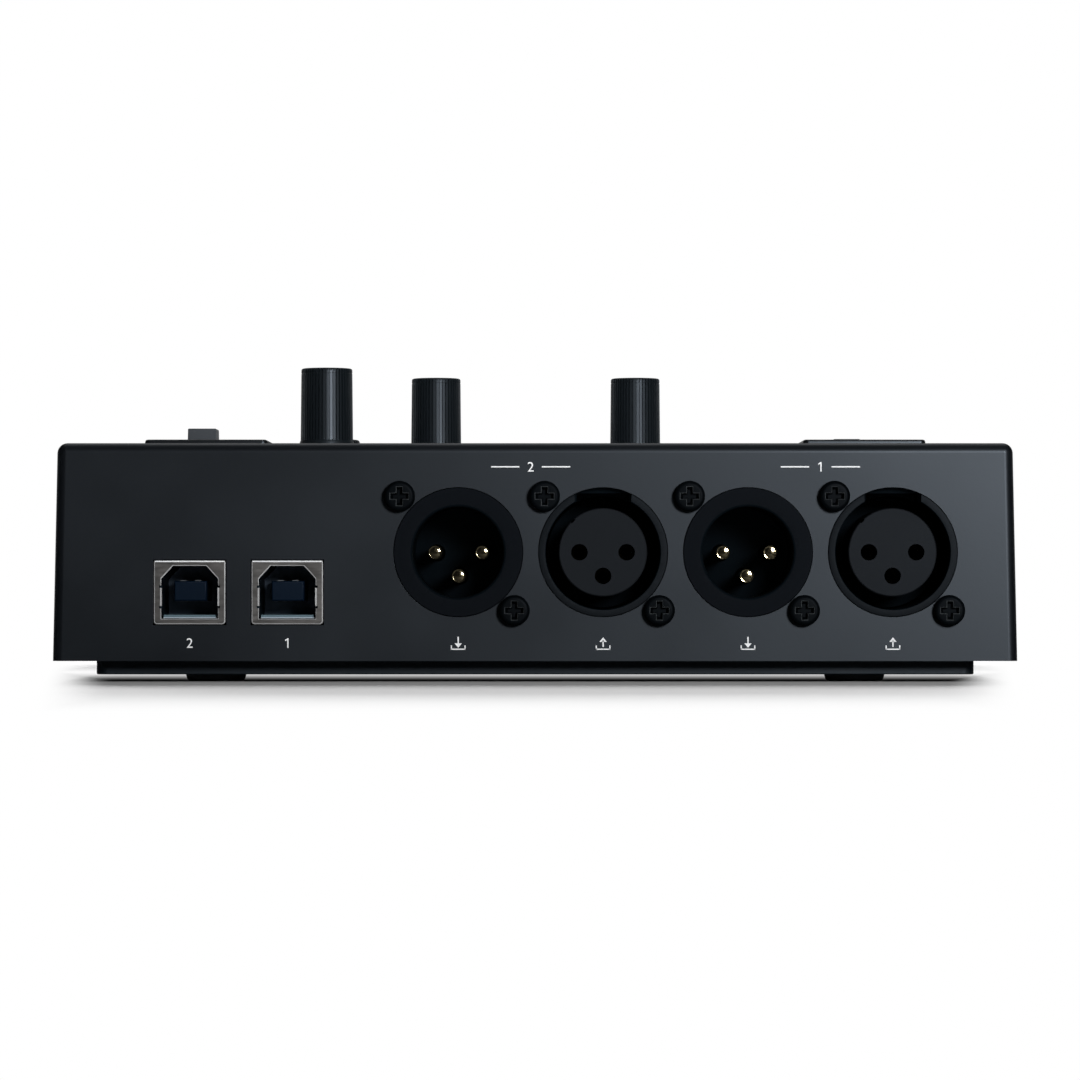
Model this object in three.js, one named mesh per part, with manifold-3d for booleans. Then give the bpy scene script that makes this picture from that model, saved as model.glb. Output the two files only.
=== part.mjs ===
// A compact desktop lighting controller: a moulded case with two faders, three knobs, a round
// button and eight pads on top, and four lighting sockets and two data ports on the rear panel.
// Millimetres, +Z up, user at -Y, rear panel at +Y. The origin is on the desk, under the middle.

import * as THREE from 'three';
import { mergeVertices } from 'three/addons/utils/BufferGeometryUtils.js';
import Module from 'manifold-3d';

const wasm = await Module();
wasm.setup();

// Clearances
const fitGap = 0.3;
const cutOverrun = 1;

// Case shell; its width, depth and height follow from what it holds
const caseSideLean = 0.75;
const caseWall = 2.2;
const caseTopWall = 2;
const caseEdgeRadius = 1.6;
const caseCornerRadius = 1.8;
const caseInnerCornerRadius = 0.6;
const caseHeadroom = 4;

// Bottom cover, a shallow pan with a flange that lies inside the shell's rim
const panInset = 6.7;
const panDrop = 2.4;
const panCornerRadius = 2;
const panEdgeRadius = 0.4;
const coverThickness = 1.8;

// Feet
const footThickness = 1.3;
const footTopRadius = 5.15;
const footBottomRadius = 4.55;
const footEdgeChamfer = 0.3;
const footFromPanSide = 19.6;
const footFromPanEnd = 13.3;

// Case screws, from below through the cover into the shell's bosses
const caseScrewHeadRadius = 2.5;
const caseScrewHeadHeight = 1.6;
const caseScrewShankRadius = 1.3;
const caseScrewShankLength = 10;
const caseScrewFromPanSide = 4.5;
const caseScrewFromPanEnd = 7.3;
const caseScrewCrossWidth = 0.9;
const caseScrewCrossSpan = 3;
const caseScrewCrossDepth = 0.9;
const caseBossRadius = 3.5;
const caseBossBoreSpare = 2;
const caseBossBehindSockets = 3.5;
const coverPadRadius = 4.5;
const coverRecessDepth = 2;

// Lighting sockets on the rear panel
const socketCount = 4;
const socketFromSide = 20.45;
const socketBodyGap = 1.9;
const socketFlangeMargin = 0.7;
const socketFlangeHeight = 25;
const socketFlangeThickness = 2.5;
const socketBodyWidth = 22.6;
const socketBodyDepth = 22;
const socketNoseRadius = 10.95;
const socketNoseProud = 0.2;
const contactSpacing = 4;

// Male socket
const cupRadius = 7.95;
const cupDepth = 16.5;
const cupMouthChamfer = 0.5;
const pinRadius = 1.2;
const pinReach = 12;
const pinTailLength = 2;
const pinTipRadius = 0.5;
const pinTipLength = 1;

// Female socket
const sleeveRadius = 9.7;
const insertRadius = 7.35;
const insertBaseThickness = 6;
const insertRecess = 0.5;
const contactHoleRadius = 1.4;
const contactHoleDepth = 12;
const keyWidth = 1.6;
const keyDepth = 0.9;
const keyAngle = THREE.MathUtils.degToRad(47);
const rimGapWidth = 9.4;
const rimGapDepth = 1.2;

// Socket screws, the upper one to the left of its socket and the lower one to the right
const upperScrewAcross = 9.9;
const upperScrewUp = 9.45;
const lowerScrewAcross = 9.5;
const lowerScrewDown = 9.85;
const socketScrewHeadRadius = 2.7;
const socketScrewHeadHeight = 1.9;
const socketScrewHeadWall = 0.7;
const socketScrewShankRadius = 1.4;
const socketScrewLength = 8;
const crossSpan = 3.3;
const crossWidth = 1;
const crossDepth = 1.1;

// Data ports
const portCount = 2;
const portPitch = 16.5;
const portFromSide = 22.55;
const portToSocket = 28.9;
const portWidth = 12.1;
const portTall = 10.8;
const portDepth = 16;
const portProud = 0.3;
const mouthWidth = 9.6;
const mouthRoof = 0.8;
const mouthFloor = 1.1;
const mouthShoulder = 2.1;
const mouthShoulderInset = 2;
const tongueWidth = 5.6;
const tongueTall = 3.4;
const tongueRecess = 1.8;
const tongueBaseThickness = 3;

// Boards
const boardThickness = 1.6;
const boardPostRadius = 2.5;
const mainPostHeight = 4.9;
const mainPostInset = 6;
const mainBoardFromRear = 4;
const mainBoardDepth = 84;
const mainBoardToBoss = 1;
const chipWidth = 14;
const chipHeight = 1.4;
const chipPlaceShare = 0.45;
const chipFromEdge = 26;
const controlBoardMargin = 0.5;
const controlBoardBehindSockets = 5;
const controlBoardFromFront = 4.5;
const controlBoardDrop = 7;
const headerWidth = 16;
const headerLength = 5;
const headerHeight = 5;
const mainHeaderFromEdge = 8;
const headerStagger = 14;
const ribbonWidth = 12.7;
const ribbonThickness = 0.9;

// Posts that hang the control board from the shell, in three rows of two
const rearPostAcross = 28;
const rearPostInset = 13;
const middlePostAcross = 30;
const middlePostSetback = 14.6;
const frontPostAcross = 40;
const frontPostFromFront = 7;

// Knobs and encoders
const controlPitch = 19.1;
const rearRowFromRear = 60.2;
const knobTopRadius = 4.65;
const knobBaseRadius = 4.8;
const knobCollarRadius = 4.95;
const knobCollarHeight = 0.8;
const knobPlainHeight = 2.5;
const knobHeight = 15.6;
const knobTopRounding = 0.4;
const shaftRadius = 2.5;
const shaftReach = 10.4;
const bushingRadius = 3.7;
const encoderWidth = 11;
const encoderFloor = 1.4;
const rotorRadius = 3.9;
const rotorThickness = 1.5;

// Round button, and what the pads have in common with it
const buttonRadius = 4.45;
const buttonHeight = 3.84;
const buttonEdge = 0.6;
const keyFlangeOverhang = 1.2;
const keyFlangeThickness = 1.2;
const keyTravel = 0.8;
const plungerRadius = 3;
const switchWidth = 6;
const switchHeight = 3.4;

// Pads
const padColumns = 4;
const padRows = 2;
const padDepth = 24;
const padGap = 4;
const padsFromSide = 16.95;
const padsFromFront = 12;
const padsFromKnobs = 25.6;
const padHeight = 2;
const padCornerRadius = 2;
const padEdgeRadius = 0.6;

// Faders
const faderPlateFromSide = 23.85;
const faderPlateFromRear = 18.4;
const faderPlateWidth = 21.3;
const faderPlateSpare = 24;
const faderPlateThickness = 1.2;
const faderPlateCornerRadius = 1;
const faderSlotOffset = 2.4;
const faderTravel = 60;
const faderTravelFromPlateEnd = 13.6;
const rightFaderRest = 6;
const faderTrackWidth = 9;
const faderTrackSpare = 16;
const faderTrackFloor = 1.2;
const faderCarriageWidth = 5.8;
const faderCarriageLength = 8;
const faderCarriageHeight = 2.6;
const faderBladeWidth = 1.4;
const faderBladeLength = 4;
const faderCapWidth = 5.3;
const faderCapLength = 8;
const faderCapTop = 3.7;
const faderCapSlope = 1;
const faderCapRoof = 0.7;

// Rounding of circles, corners and edges
const roundSides = 24;
const smallRoundSides = 12;
const cornerSteps = 2;
const caseEdgeSteps = 3;
const edgeSteps = 1;
const shoulderSteps = 2;
const ribbonSteps = 12;

// Heights, from the desk up
const caseRimHeight = footThickness + panDrop;
const coverTop = caseRimHeight + coverThickness;
const panFloor = footThickness + coverThickness;
const mainBoardUnderside = panFloor + mainPostHeight;
const mainBoardTop = mainBoardUnderside + boardThickness;
const socketHeight = mainBoardTop + socketFlangeHeight / 2;
const portHeight = mainBoardTop + fitGap + portTall / 2;
const ceiling = socketHeight + socketFlangeHeight / 2 + caseHeadroom;
const caseTopHeight = ceiling + caseTopWall;
const controlBoardTop = ceiling - controlBoardDrop;
const controlBoardUnderside = controlBoardTop - boardThickness;
const flangeTop = ceiling - fitGap;
const flangeUnderside = flangeTop - keyFlangeThickness;
const switchTop = controlBoardTop + switchHeight;
const plungerTip = switchTop + keyTravel + fitGap;
const faderPlateTop = caseTopHeight + faderPlateThickness;
const faderTrackTop = ceiling - fitGap;

// Widths
const socketPitch = socketBodyWidth + socketBodyGap;
const socketFlangeWidth = socketBodyWidth + 2 * socketFlangeMargin;
const portsAcross = (portCount - 1) * portPitch;
const socketsAcross = (socketCount - 1) * socketPitch;
const caseWidthAtTop = portFromSide + portsAcross + portToSocket + socketsAcross + socketFromSide;
const caseWidthAtRim = caseWidthAtTop + 2 * caseSideLean;
const panWidth = caseWidthAtRim - 2 * panInset;
const caseScrewX = panWidth / 2 - caseScrewFromPanSide;
const footX = panWidth / 2 - footFromPanSide;
const faderPlateX = caseWidthAtTop / 2 - faderPlateFromSide;
const faderX = faderPlateX + faderSlotOffset;
const mainBoardHalfWidth = caseScrewX - caseBossRadius - mainBoardToBoss;
const controlBoardHalfWidth = faderX + faderTrackWidth / 2 + controlBoardMargin;
const padPitch = (caseWidthAtTop - 2 * padsFromSide + padGap) / padColumns;
const padWidth = padPitch - padGap;

// Lengths, from the rear panel
const frontRowFromRear = rearRowFromRear + 2 * controlPitch;
const padsFromRear = frontRowFromRear + padsFromKnobs;
const caseDepth = padsFromRear + padRows * (padDepth + padGap) - padGap + padsFromFront;
const panDepth = caseDepth - 2 * panInset;
const faderTravelFromRear = faderPlateFromRear + faderTravelFromPlateEnd;
const faderTravelMiddle = faderTravelFromRear + faderTravel / 2;
const faderPlateLength = faderTravel + faderPlateSpare;
const controlBoardFromRear = socketBodyDepth + controlBoardBehindSockets;
const mainHeaderFromRear = mainBoardFromRear + mainBoardDepth - mainHeaderFromEdge;
const controlHeaderFromRear = mainHeaderFromRear - headerStagger;
const rearBossFromRear = socketBodyDepth + caseBossBehindSockets + caseBossRadius;

// Places in the frame
const rearY = (caseDepth - socketScrewHeadHeight) / 2;
const frontY = rearY - caseDepth;
const middleY = (rearY + frontY) / 2;
const caseHeight = caseTopHeight - caseRimHeight;

const fromRear = (distance) => rearY - distance;

// Solids

function toSolid(geometry) {
  const bare = geometry.clone();
  bare.deleteAttribute('normal');
  bare.deleteAttribute('uv');
  const merged = mergeVertices(bare);
  return new wasm.Manifold(new wasm.Mesh({
    numProp: 3,
    vertProperties: merged.attributes.position.array,
    triVerts: new Uint32Array(merged.index.array),
  }));
}

function toGeometry(solid) {
  const mesh = solid.getMesh();
  const geometry = new THREE.BufferGeometry();
  geometry.setAttribute('position', new THREE.BufferAttribute(mesh.vertProperties, 3));
  geometry.setIndex(new THREE.BufferAttribute(mesh.triVerts, 1));
  geometry.computeVertexNormals();
  return geometry;
}

const join = (first, ...rest) => rest.reduce((whole, piece) => whole.add(piece), first);
const cut = (first, ...rest) => rest.reduce((whole, piece) => whole.subtract(piece), first);

function block(x, y, z) {
  const geometry = new THREE.BoxGeometry(x[1] - x[0], y[1] - y[0], z[1] - z[0]);
  return toSolid(geometry.translate((x[0] + x[1]) / 2, (y[0] + y[1]) / 2, (z[0] + z[1]) / 2));
}

const around = (middle, size) => [middle - size / 2, middle + size / 2];

function roundBar(radius, z, sides = smallRoundSides) {
  const geometry = new THREE.CylinderGeometry(radius, radius, z[1] - z[0], sides);
  return geometry.rotateX(Math.PI / 2).translate(0, 0, (z[0] + z[1]) / 2);
}

const uprightBar = (x, y, radius, z, sides) => toSolid(roundBar(radius, z, sides).translate(x, y, 0));

function levelBar(x, z, radius, y, sides = smallRoundSides) {
  const geometry = new THREE.CylinderGeometry(radius, radius, y[1] - y[0], sides);
  return toSolid(geometry.translate(x, (y[0] + y[1]) / 2, z));
}

function turned(profile, sides) {
  const points = profile.map(([radius, height]) => new THREE.Vector2(radius, height));
  return new THREE.LatheGeometry(points, sides);
}

// The rounded shoulder of a turned piece, from its side up to its end face
function shoulder(sideRadius, endRadius, from, to) {
  const points = [];
  for (let step = 0; step <= shoulderSteps; step += 1) {
    const angle = (step / shoulderSteps) * (Math.PI / 2);
    points.push([
      endRadius + (sideRadius - endRadius) * Math.cos(angle),
      from + (to - from) * Math.sin(angle),
    ]);
  }
  return points;
}

const turnedUpright = (profile, sides = roundSides) => toSolid(turned(profile, sides).rotateX(Math.PI / 2));
const turnedLevel = (profile, sides = roundSides) => toSolid(turned(profile, sides));

function roundedRectangle(width, depth, radius) {
  const x = width / 2;
  const y = depth / 2;
  const shape = new THREE.Shape();
  shape.moveTo(x, y - radius);
  shape.absarc(x - radius, y - radius, radius, 0, Math.PI / 2);
  shape.absarc(radius - x, y - radius, radius, Math.PI / 2, Math.PI);
  shape.absarc(radius - x, radius - y, radius, Math.PI, 1.5 * Math.PI);
  shape.absarc(x - radius, radius - y, radius, 1.5 * Math.PI, 2 * Math.PI);
  return shape;
}

function slab(width, depth, radius, z, edgeRadius = 0, steps = edgeSteps) {
  const rounded = edgeRadius > 0;
  const geometry = new THREE.ExtrudeGeometry(roundedRectangle(width, depth, radius), {
    depth: z[1] - z[0] - 2 * edgeRadius,
    curveSegments: cornerSteps,
    bevelEnabled: rounded,
    bevelThickness: edgeRadius,
    bevelSize: edgeRadius,
    bevelOffset: -edgeRadius,
    bevelSegments: steps,
  });
  return geometry.translate(0, 0, z[0] + edgeRadius);
}

const slabAt = (x, y, width, depth, radius, z, edgeRadius) =>
  toSolid(slab(width, depth, radius, z, edgeRadius).translate(x, y, 0));

// The case's sides lean in towards the top
function lean(geometry) {
  const place = geometry.attributes.position;
  const share = 1 - caseWidthAtTop / caseWidthAtRim;
  for (let i = 0; i < place.count; i += 1) {
    const rise = (place.getZ(i) - caseRimHeight) / caseHeight;
    place.setX(i, place.getX(i) * (1 - share * rise));
  }
  return geometry;
}

// Materials

const finish = (color, roughness, metalness) => ({ color, roughness, metalness });
const finishes = {
  casePaint: finish(0x24282c, 0.5, 0.1),
  cover: finish(0x131517, 0.6, 0.1),
  rubber: finish(0x101112, 0.9, 0),
  blackScrew: finish(0x0d0e10, 0.45, 0.6),
  socket: finish(0x1b1d20, 0.5, 0),
  insert: finish(0x16181a, 0.6, 0),
  gold: finish(0xd8b36a, 0.25, 1),
  nickel: finish(0xa39c90, 0.35, 0.9),
  tongue: finish(0x122431, 0.5, 0),
  board: finish(0x14402a, 0.6, 0),
  ribbon: finish(0x8d9094, 0.7, 0),
  knob: finish(0x15171a, 0.55, 0),
  steel: finish(0xb8b9bb, 0.35, 0.9),
  faderPlate: finish(0x0d0f11, 0.5, 0),
  faderCap: finish(0x2d3034, 0.5, 0),
  track: finish(0x8f9195, 0.4, 0.8),
  pad: finish(0x33373b, 0.7, 0),
};

function piece(name, solid, look) {
  const mesh = new THREE.Mesh(toGeometry(solid), new THREE.MeshStandardMaterial(finishes[look]));
  mesh.name = name;
  return mesh;
}

// Places that repeat

const caseCorners = [];
for (const side of [1, -1]) {
  for (const y of [fromRear(rearBossFromRear), frontY + panInset + caseScrewFromPanEnd]) {
    caseCorners.push({ x: side * caseScrewX, y });
  }
}

const footPlaces = [];
for (const side of [1, -1]) {
  for (const y of [rearY - panInset - footFromPanEnd, frontY + panInset + footFromPanEnd]) {
    footPlaces.push({ x: side * footX, y });
  }
}

const mainPosts = [];
for (const side of [1, -1]) {
  for (const distance of [mainPostInset, mainBoardDepth - mainPostInset]) {
    mainPosts.push({
      x: side * (mainBoardHalfWidth - mainPostInset),
      y: fromRear(mainBoardFromRear + distance),
    });
  }
}

const knobPlaces = [
  { x: 2 * controlPitch, y: fromRear(rearRowFromRear) },
  { x: controlPitch, y: fromRear(frontRowFromRear) },
  { x: -controlPitch, y: fromRear(frontRowFromRear) },
];

const buttonPlace = { x: 2 * controlPitch, y: fromRear(frontRowFromRear) };

const padPlaces = [];
for (let row = 0; row < padRows; row += 1) {
  for (let column = 0; column < padColumns; column += 1) {
    padPlaces.push({
      x: (column - (padColumns - 1) / 2) * padPitch,
      y: fromRear(padsFromRear + padDepth / 2 + row * (padDepth + padGap)),
    });
  }
}

const controlPosts = [];
for (const side of [1, -1]) {
  controlPosts.push(
    { x: side * rearPostAcross, y: fromRear(controlBoardFromRear + rearPostInset) },
    { x: side * middlePostAcross, y: fromRear(frontRowFromRear + middlePostSetback) },
    { x: side * frontPostAcross, y: frontY + frontPostFromFront },
  );
}

const faderSides = [
  { name: 'right', x: faderX, plateX: faderPlateX, distance: faderTravelFromRear + rightFaderRest },
  { name: 'left', x: -faderX, plateX: -faderPlateX, distance: faderTravelFromRear + faderTravel },
];

const portPlaces = [];
for (let i = 0; i < portCount; i += 1) {
  portPlaces.push({ name: portCount - i, x: caseWidthAtTop / 2 - portFromSide - i * portPitch });
}

// Each lighting line has a male input and a female output beside it
const socketPlaces = [];
for (let i = 0; i < socketCount; i += 1) {
  const male = i % 2 === 0;
  const line = (socketCount - i + (i % 2)) / 2;
  const x = socketFromSide - caseWidthAtTop / 2 + (socketCount - 1 - i) * socketPitch;
  socketPlaces.push({ name: `${male ? 'in' : 'out'}_${line}`, male, x });
}

const screwOffsets = [
  { x: upperScrewAcross, z: upperScrewUp },
  { x: -lowerScrewAcross, z: -lowerScrewDown },
];

const contactOffsets = [
  { x: contactSpacing, z: 0 },
  { x: -contactSpacing, z: 0 },
  { x: 0, z: -contactSpacing },
];

// Case

function topShell() {
  const under = caseRimHeight - caseEdgeRadius - cutOverrun;
  const outer = slab(
    caseWidthAtRim,
    caseDepth,
    caseCornerRadius,
    [under, caseTopHeight],
    caseEdgeRadius,
    caseEdgeSteps,
  );
  const inner = slab(
    caseWidthAtRim - 2 * caseWall,
    caseDepth - 2 * caseWall,
    caseInnerCornerRadius,
    [under - cutOverrun, ceiling],
  );
  const skin = cut(
    toSolid(lean(outer.translate(0, middleY, 0))),
    toSolid(lean(inner.translate(0, middleY, 0))),
    block(
      around(0, 2 * caseWidthAtRim),
      around(middleY, 2 * caseDepth),
      [under - cutOverrun, caseRimHeight],
    ),
  );
  const bosses = caseCorners.map(({ x, y }) => uprightBar(
    x,
    y,
    caseBossRadius,
    [coverTop, ceiling + fitGap],
  ));
  const posts = controlPosts.map(({ x, y }) => uprightBar(
    x,
    y,
    boardPostRadius,
    [controlBoardTop, ceiling + fitGap],
  ));
  const bores = caseCorners.map(({ x, y }) => uprightBar(
    x,
    y,
    caseScrewShankRadius + fitGap,
    [coverTop - cutOverrun, coverTop + caseScrewShankLength + caseBossBoreSpare],
  ));
  return cut(join(skin, ...bosses, ...posts), ...bores, ...rearOpenings(), ...topOpenings());
}

function rearOpenings() {
  const through = [rearY - caseWall - cutOverrun, rearY + cutOverrun];
  const openings = [];
  for (const { x } of socketPlaces) {
    openings.push(levelBar(x, socketHeight, socketNoseRadius + fitGap, through, roundSides));
    for (const offset of screwOffsets) {
      const radius = socketScrewShankRadius + fitGap;
      openings.push(levelBar(x + offset.x, socketHeight + offset.z, radius, through));
    }
  }
  for (const { x } of portPlaces) {
    openings.push(block(
      around(x, portWidth + 2 * fitGap),
      through,
      around(portHeight, portTall + 2 * fitGap),
    ));
  }
  return openings;
}

function topOpenings() {
  const through = [ceiling - cutOverrun, caseTopHeight + cutOverrun];
  const openings = knobPlaces.map(({ x, y }) => uprightBar(x, y, bushingRadius + fitGap, through));
  openings.push(uprightBar(buttonPlace.x, buttonPlace.y, buttonRadius + fitGap, through, roundSides));
  for (const { x, y } of padPlaces) {
    openings.push(slabAt(
      x,
      y,
      padWidth + 2 * fitGap,
      padDepth + 2 * fitGap,
      padCornerRadius + fitGap,
      through,
    ));
  }
  for (const side of faderSides) {
    openings.push(faderSlot(side.x, through));
  }
  return openings;
}

function faderSlot(x, z) {
  const length = faderTravel + faderBladeLength + 2 * fitGap;
  return block(
    around(x, faderBladeWidth + 2 * fitGap),
    around(fromRear(faderTravelMiddle), length),
    z,
  );
}

function bottomCover() {
  const flangeInset = caseWall + fitGap;
  const share = 1 - (1 - caseWidthAtTop / caseWidthAtRim) * (coverThickness / caseHeight);
  const flange = slabAt(
    0,
    middleY,
    (caseWidthAtRim - 2 * flangeInset) * share,
    caseDepth - 2 * flangeInset,
    caseInnerCornerRadius,
    [caseRimHeight, coverTop],
  );
  const pan = slabAt(
    0,
    middleY,
    panWidth,
    panDepth,
    panCornerRadius,
    [footThickness, coverTop],
    panEdgeRadius,
  );
  const pocket = slabAt(
    0,
    middleY,
    panWidth - 2 * coverThickness,
    panDepth - 2 * coverThickness,
    panCornerRadius,
    [panFloor, coverTop + cutOverrun],
  );
  const pads = caseCorners.map(({ x, y }) => uprightBar(
    x,
    y,
    coverPadRadius,
    [panFloor - fitGap, coverTop],
  ));
  const posts = mainPosts.map(({ x, y }) => uprightBar(
    x,
    y,
    boardPostRadius,
    [panFloor - fitGap, mainBoardUnderside],
  ));
  const recesses = caseCorners.map(({ x, y }) => uprightBar(
    x,
    y,
    caseScrewHeadRadius + fitGap,
    [footThickness - cutOverrun, footThickness + coverRecessDepth],
  ));
  const bores = caseCorners.map(({ x, y }) => uprightBar(
    x,
    y,
    caseScrewShankRadius + fitGap,
    [footThickness, coverTop + cutOverrun],
  ));
  return cut(join(cut(join(flange, pan), pocket), ...pads, ...posts), ...recesses, ...bores);
}

function foot() {
  return turnedUpright([
    [0, 0],
    [footBottomRadius - footEdgeChamfer, 0],
    [footBottomRadius, footEdgeChamfer],
    [footTopRadius, footThickness],
    [0, footThickness],
  ], roundSides);
}

function caseScrew() {
  const head = uprightBar(0, 0, caseScrewHeadRadius, [-caseScrewHeadHeight, 0]);
  const shank = uprightBar(0, 0, caseScrewShankRadius, [-fitGap, caseScrewShankLength]);
  const depth = [-caseScrewHeadHeight - cutOverrun, caseScrewCrossDepth - caseScrewHeadHeight];
  return cut(
    join(head, shank),
    block(around(0, caseScrewCrossSpan), around(0, caseScrewCrossWidth), depth),
    block(around(0, caseScrewCrossWidth), around(0, caseScrewCrossSpan), depth),
  );
}

// Lighting sockets, each in a frame whose origin is on its axis at the panel's outer face

function socketCase(noseInnerCut) {
  const underside = -socketFlangeHeight / 2;
  const flangeFront = -caseWall;
  const flangeBack = flangeFront - socketFlangeThickness;
  const nose = levelBar(0, 0, socketNoseRadius, [flangeBack, socketNoseProud], roundSides);
  const flange = block(
    around(0, socketFlangeWidth),
    [flangeBack, flangeFront],
    around(0, socketFlangeHeight),
  );
  const body = block(
    around(0, socketBodyWidth),
    [-socketBodyDepth, flangeFront - fitGap],
    [underside, socketBodyWidth / 2],
  );
  const screwBores = screwOffsets.map(({ x, z }) => levelBar(
    x,
    z,
    socketScrewShankRadius + fitGap,
    [-socketScrewLength - fitGap, cutOverrun],
  ));
  return cut(join(nose, flange, body), ...screwBores, ...noseInnerCut);
}

function maleHousing() {
  const cup = turnedLevel([
    [0, -cupDepth],
    [cupRadius, -cupDepth],
    [cupRadius, socketNoseProud - cupMouthChamfer],
    [cupRadius + cupMouthChamfer + cutOverrun, socketNoseProud + cutOverrun],
    [0, socketNoseProud + cutOverrun],
  ]);
  const pinBores = contactOffsets.map(({ x, z }) => levelBar(
    x,
    z,
    pinRadius + fitGap,
    [-socketBodyDepth - cutOverrun, -cupDepth + cutOverrun],
  ));
  return socketCase([cup, ...pinBores]);
}

function pin() {
  const tip = -cupDepth + pinReach;
  return turnedLevel([
    [0, -socketBodyDepth - pinTailLength],
    [pinRadius, -socketBodyDepth - pinTailLength],
    ...shoulder(pinRadius, pinTipRadius, tip - pinTipLength, tip),
    [0, tip],
  ], smallRoundSides);
}

function femaleHousing() {
  const bore = levelBar(0, 0, sleeveRadius, [-socketBodyDepth - cutOverrun, cutOverrun], roundSides);
  const rimGap = block(
    around(0, rimGapWidth),
    [socketNoseProud - rimGapDepth, cutOverrun],
    [0, socketNoseRadius + cutOverrun],
  );
  return socketCase([bore, rimGap]);
}

function femaleInsert() {
  const front = -insertRecess;
  const base = -socketBodyDepth + insertBaseThickness;
  const core = levelBar(0, 0, insertRadius, [-socketBodyDepth, front], roundSides);
  const disc = levelBar(0, 0, sleeveRadius - fitGap, [-socketBodyDepth, base], roundSides);
  const holes = contactOffsets.map(({ x, z }) => levelBar(
    x,
    z,
    contactHoleRadius,
    [front - contactHoleDepth, front + cutOverrun],
  ));
  const key = new THREE.BoxGeometry(2 * keyDepth, socketBodyDepth - insertBaseThickness, keyWidth);
  key.translate(insertRadius, (base + front) / 2 + fitGap, 0).rotateY(-keyAngle);
  return cut(join(core, disc), toSolid(key), ...holes);
}

function socketScrew() {
  const body = turnedLevel([
    [0, -socketScrewLength],
    [socketScrewShankRadius, -socketScrewLength],
    [socketScrewShankRadius, 0],
    [socketScrewHeadRadius, 0],
    ...shoulder(socketScrewHeadRadius, crossSpan / 2, socketScrewHeadWall, socketScrewHeadHeight),
    [0, socketScrewHeadHeight],
  ], smallRoundSides);
  const depth = [socketScrewHeadHeight - crossDepth, socketScrewHeadHeight + cutOverrun];
  return cut(
    body,
    block(around(0, crossSpan), depth, around(0, crossWidth)),
    block(around(0, crossWidth), depth, around(0, crossSpan)),
  );
}

function addSockets(controller) {
  for (const { name, male, x } of socketPlaces) {
    const socket = new THREE.Group();
    socket.position.set(x, rearY, socketHeight);
    if (male) {
      socket.add(piece(`socket_housing_${name}`, maleHousing(), 'socket'));
      contactOffsets.forEach((offset, i) => {
        const mesh = piece(`socket_pin_${name}_${i + 1}`, pin(), 'gold');
        mesh.position.set(offset.x, 0, offset.z);
        socket.add(mesh);
      });
    } else {
      socket.add(piece(`socket_housing_${name}`, femaleHousing(), 'socket'));
      socket.add(piece(`socket_insert_${name}`, femaleInsert(), 'insert'));
    }
    screwOffsets.forEach((offset, i) => {
      const mesh = piece(`socket_screw_${name}_${i + 1}`, socketScrew(), 'blackScrew');
      mesh.position.set(offset.x, 0, offset.z);
      socket.add(mesh);
    });
    controller.add(socket);
  }
}

// Data ports

// The mouth's outline has its two upper corners cut off
function mouthShape(spare) {
  const x = mouthWidth / 2 - spare;
  const floor = mouthFloor - portTall / 2 + spare;
  const roof = portTall / 2 - mouthRoof - spare;
  const shape = new THREE.Shape();
  shape.moveTo(-x, floor);
  shape.lineTo(x, floor);
  shape.lineTo(x, roof - mouthShoulder);
  shape.lineTo(x - mouthShoulderInset, roof);
  shape.lineTo(mouthShoulderInset - x, roof);
  shape.lineTo(-x, roof - mouthShoulder);
  return shape;
}

function mouthPrism(spare, y) {
  const geometry = new THREE.ExtrudeGeometry(mouthShape(spare), { depth: y[1] - y[0], bevelEnabled: false });
  return toSolid(geometry.rotateX(Math.PI / 2).translate(0, y[1], 0));
}

function portShell() {
  const outer = block(around(0, portWidth), [-portDepth, portProud], around(0, portTall));
  return cut(outer, mouthPrism(0, [-portDepth - cutOverrun, portProud + cutOverrun]));
}

function portTongue() {
  const base = [-portDepth, -portDepth + tongueBaseThickness];
  return join(
    mouthPrism(fitGap, base),
    block(around(0, tongueWidth), [-portDepth, portProud - tongueRecess], around(0, tongueTall)),
  );
}

function addPorts(controller) {
  for (const { name, x } of portPlaces) {
    const port = new THREE.Group();
    port.position.set(x, rearY, portHeight);
    port.add(piece(`usb_shell_${name}`, portShell(), 'nickel'));
    port.add(piece(`usb_tongue_${name}`, portTongue(), 'tongue'));
    controller.add(port);
  }
}

// Boards

function mainBoard() {
  const edge = fromRear(mainBoardFromRear + mainBoardDepth);
  const board = block(
    around(0, 2 * mainBoardHalfWidth),
    [edge, fromRear(mainBoardFromRear)],
    [mainBoardUnderside, mainBoardTop],
  );
  const chips = [1, -1].map((side) => block(
    around(side * mainBoardHalfWidth * chipPlaceShare, chipWidth),
    around(edge + chipFromEdge, chipWidth),
    [mainBoardUnderside, mainBoardTop + chipHeight],
  ));
  const header = block(
    around(0, headerWidth),
    around(fromRear(mainHeaderFromRear), headerLength),
    [mainBoardUnderside, mainBoardTop + headerHeight],
  );
  return join(board, ...chips, header);
}

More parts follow.
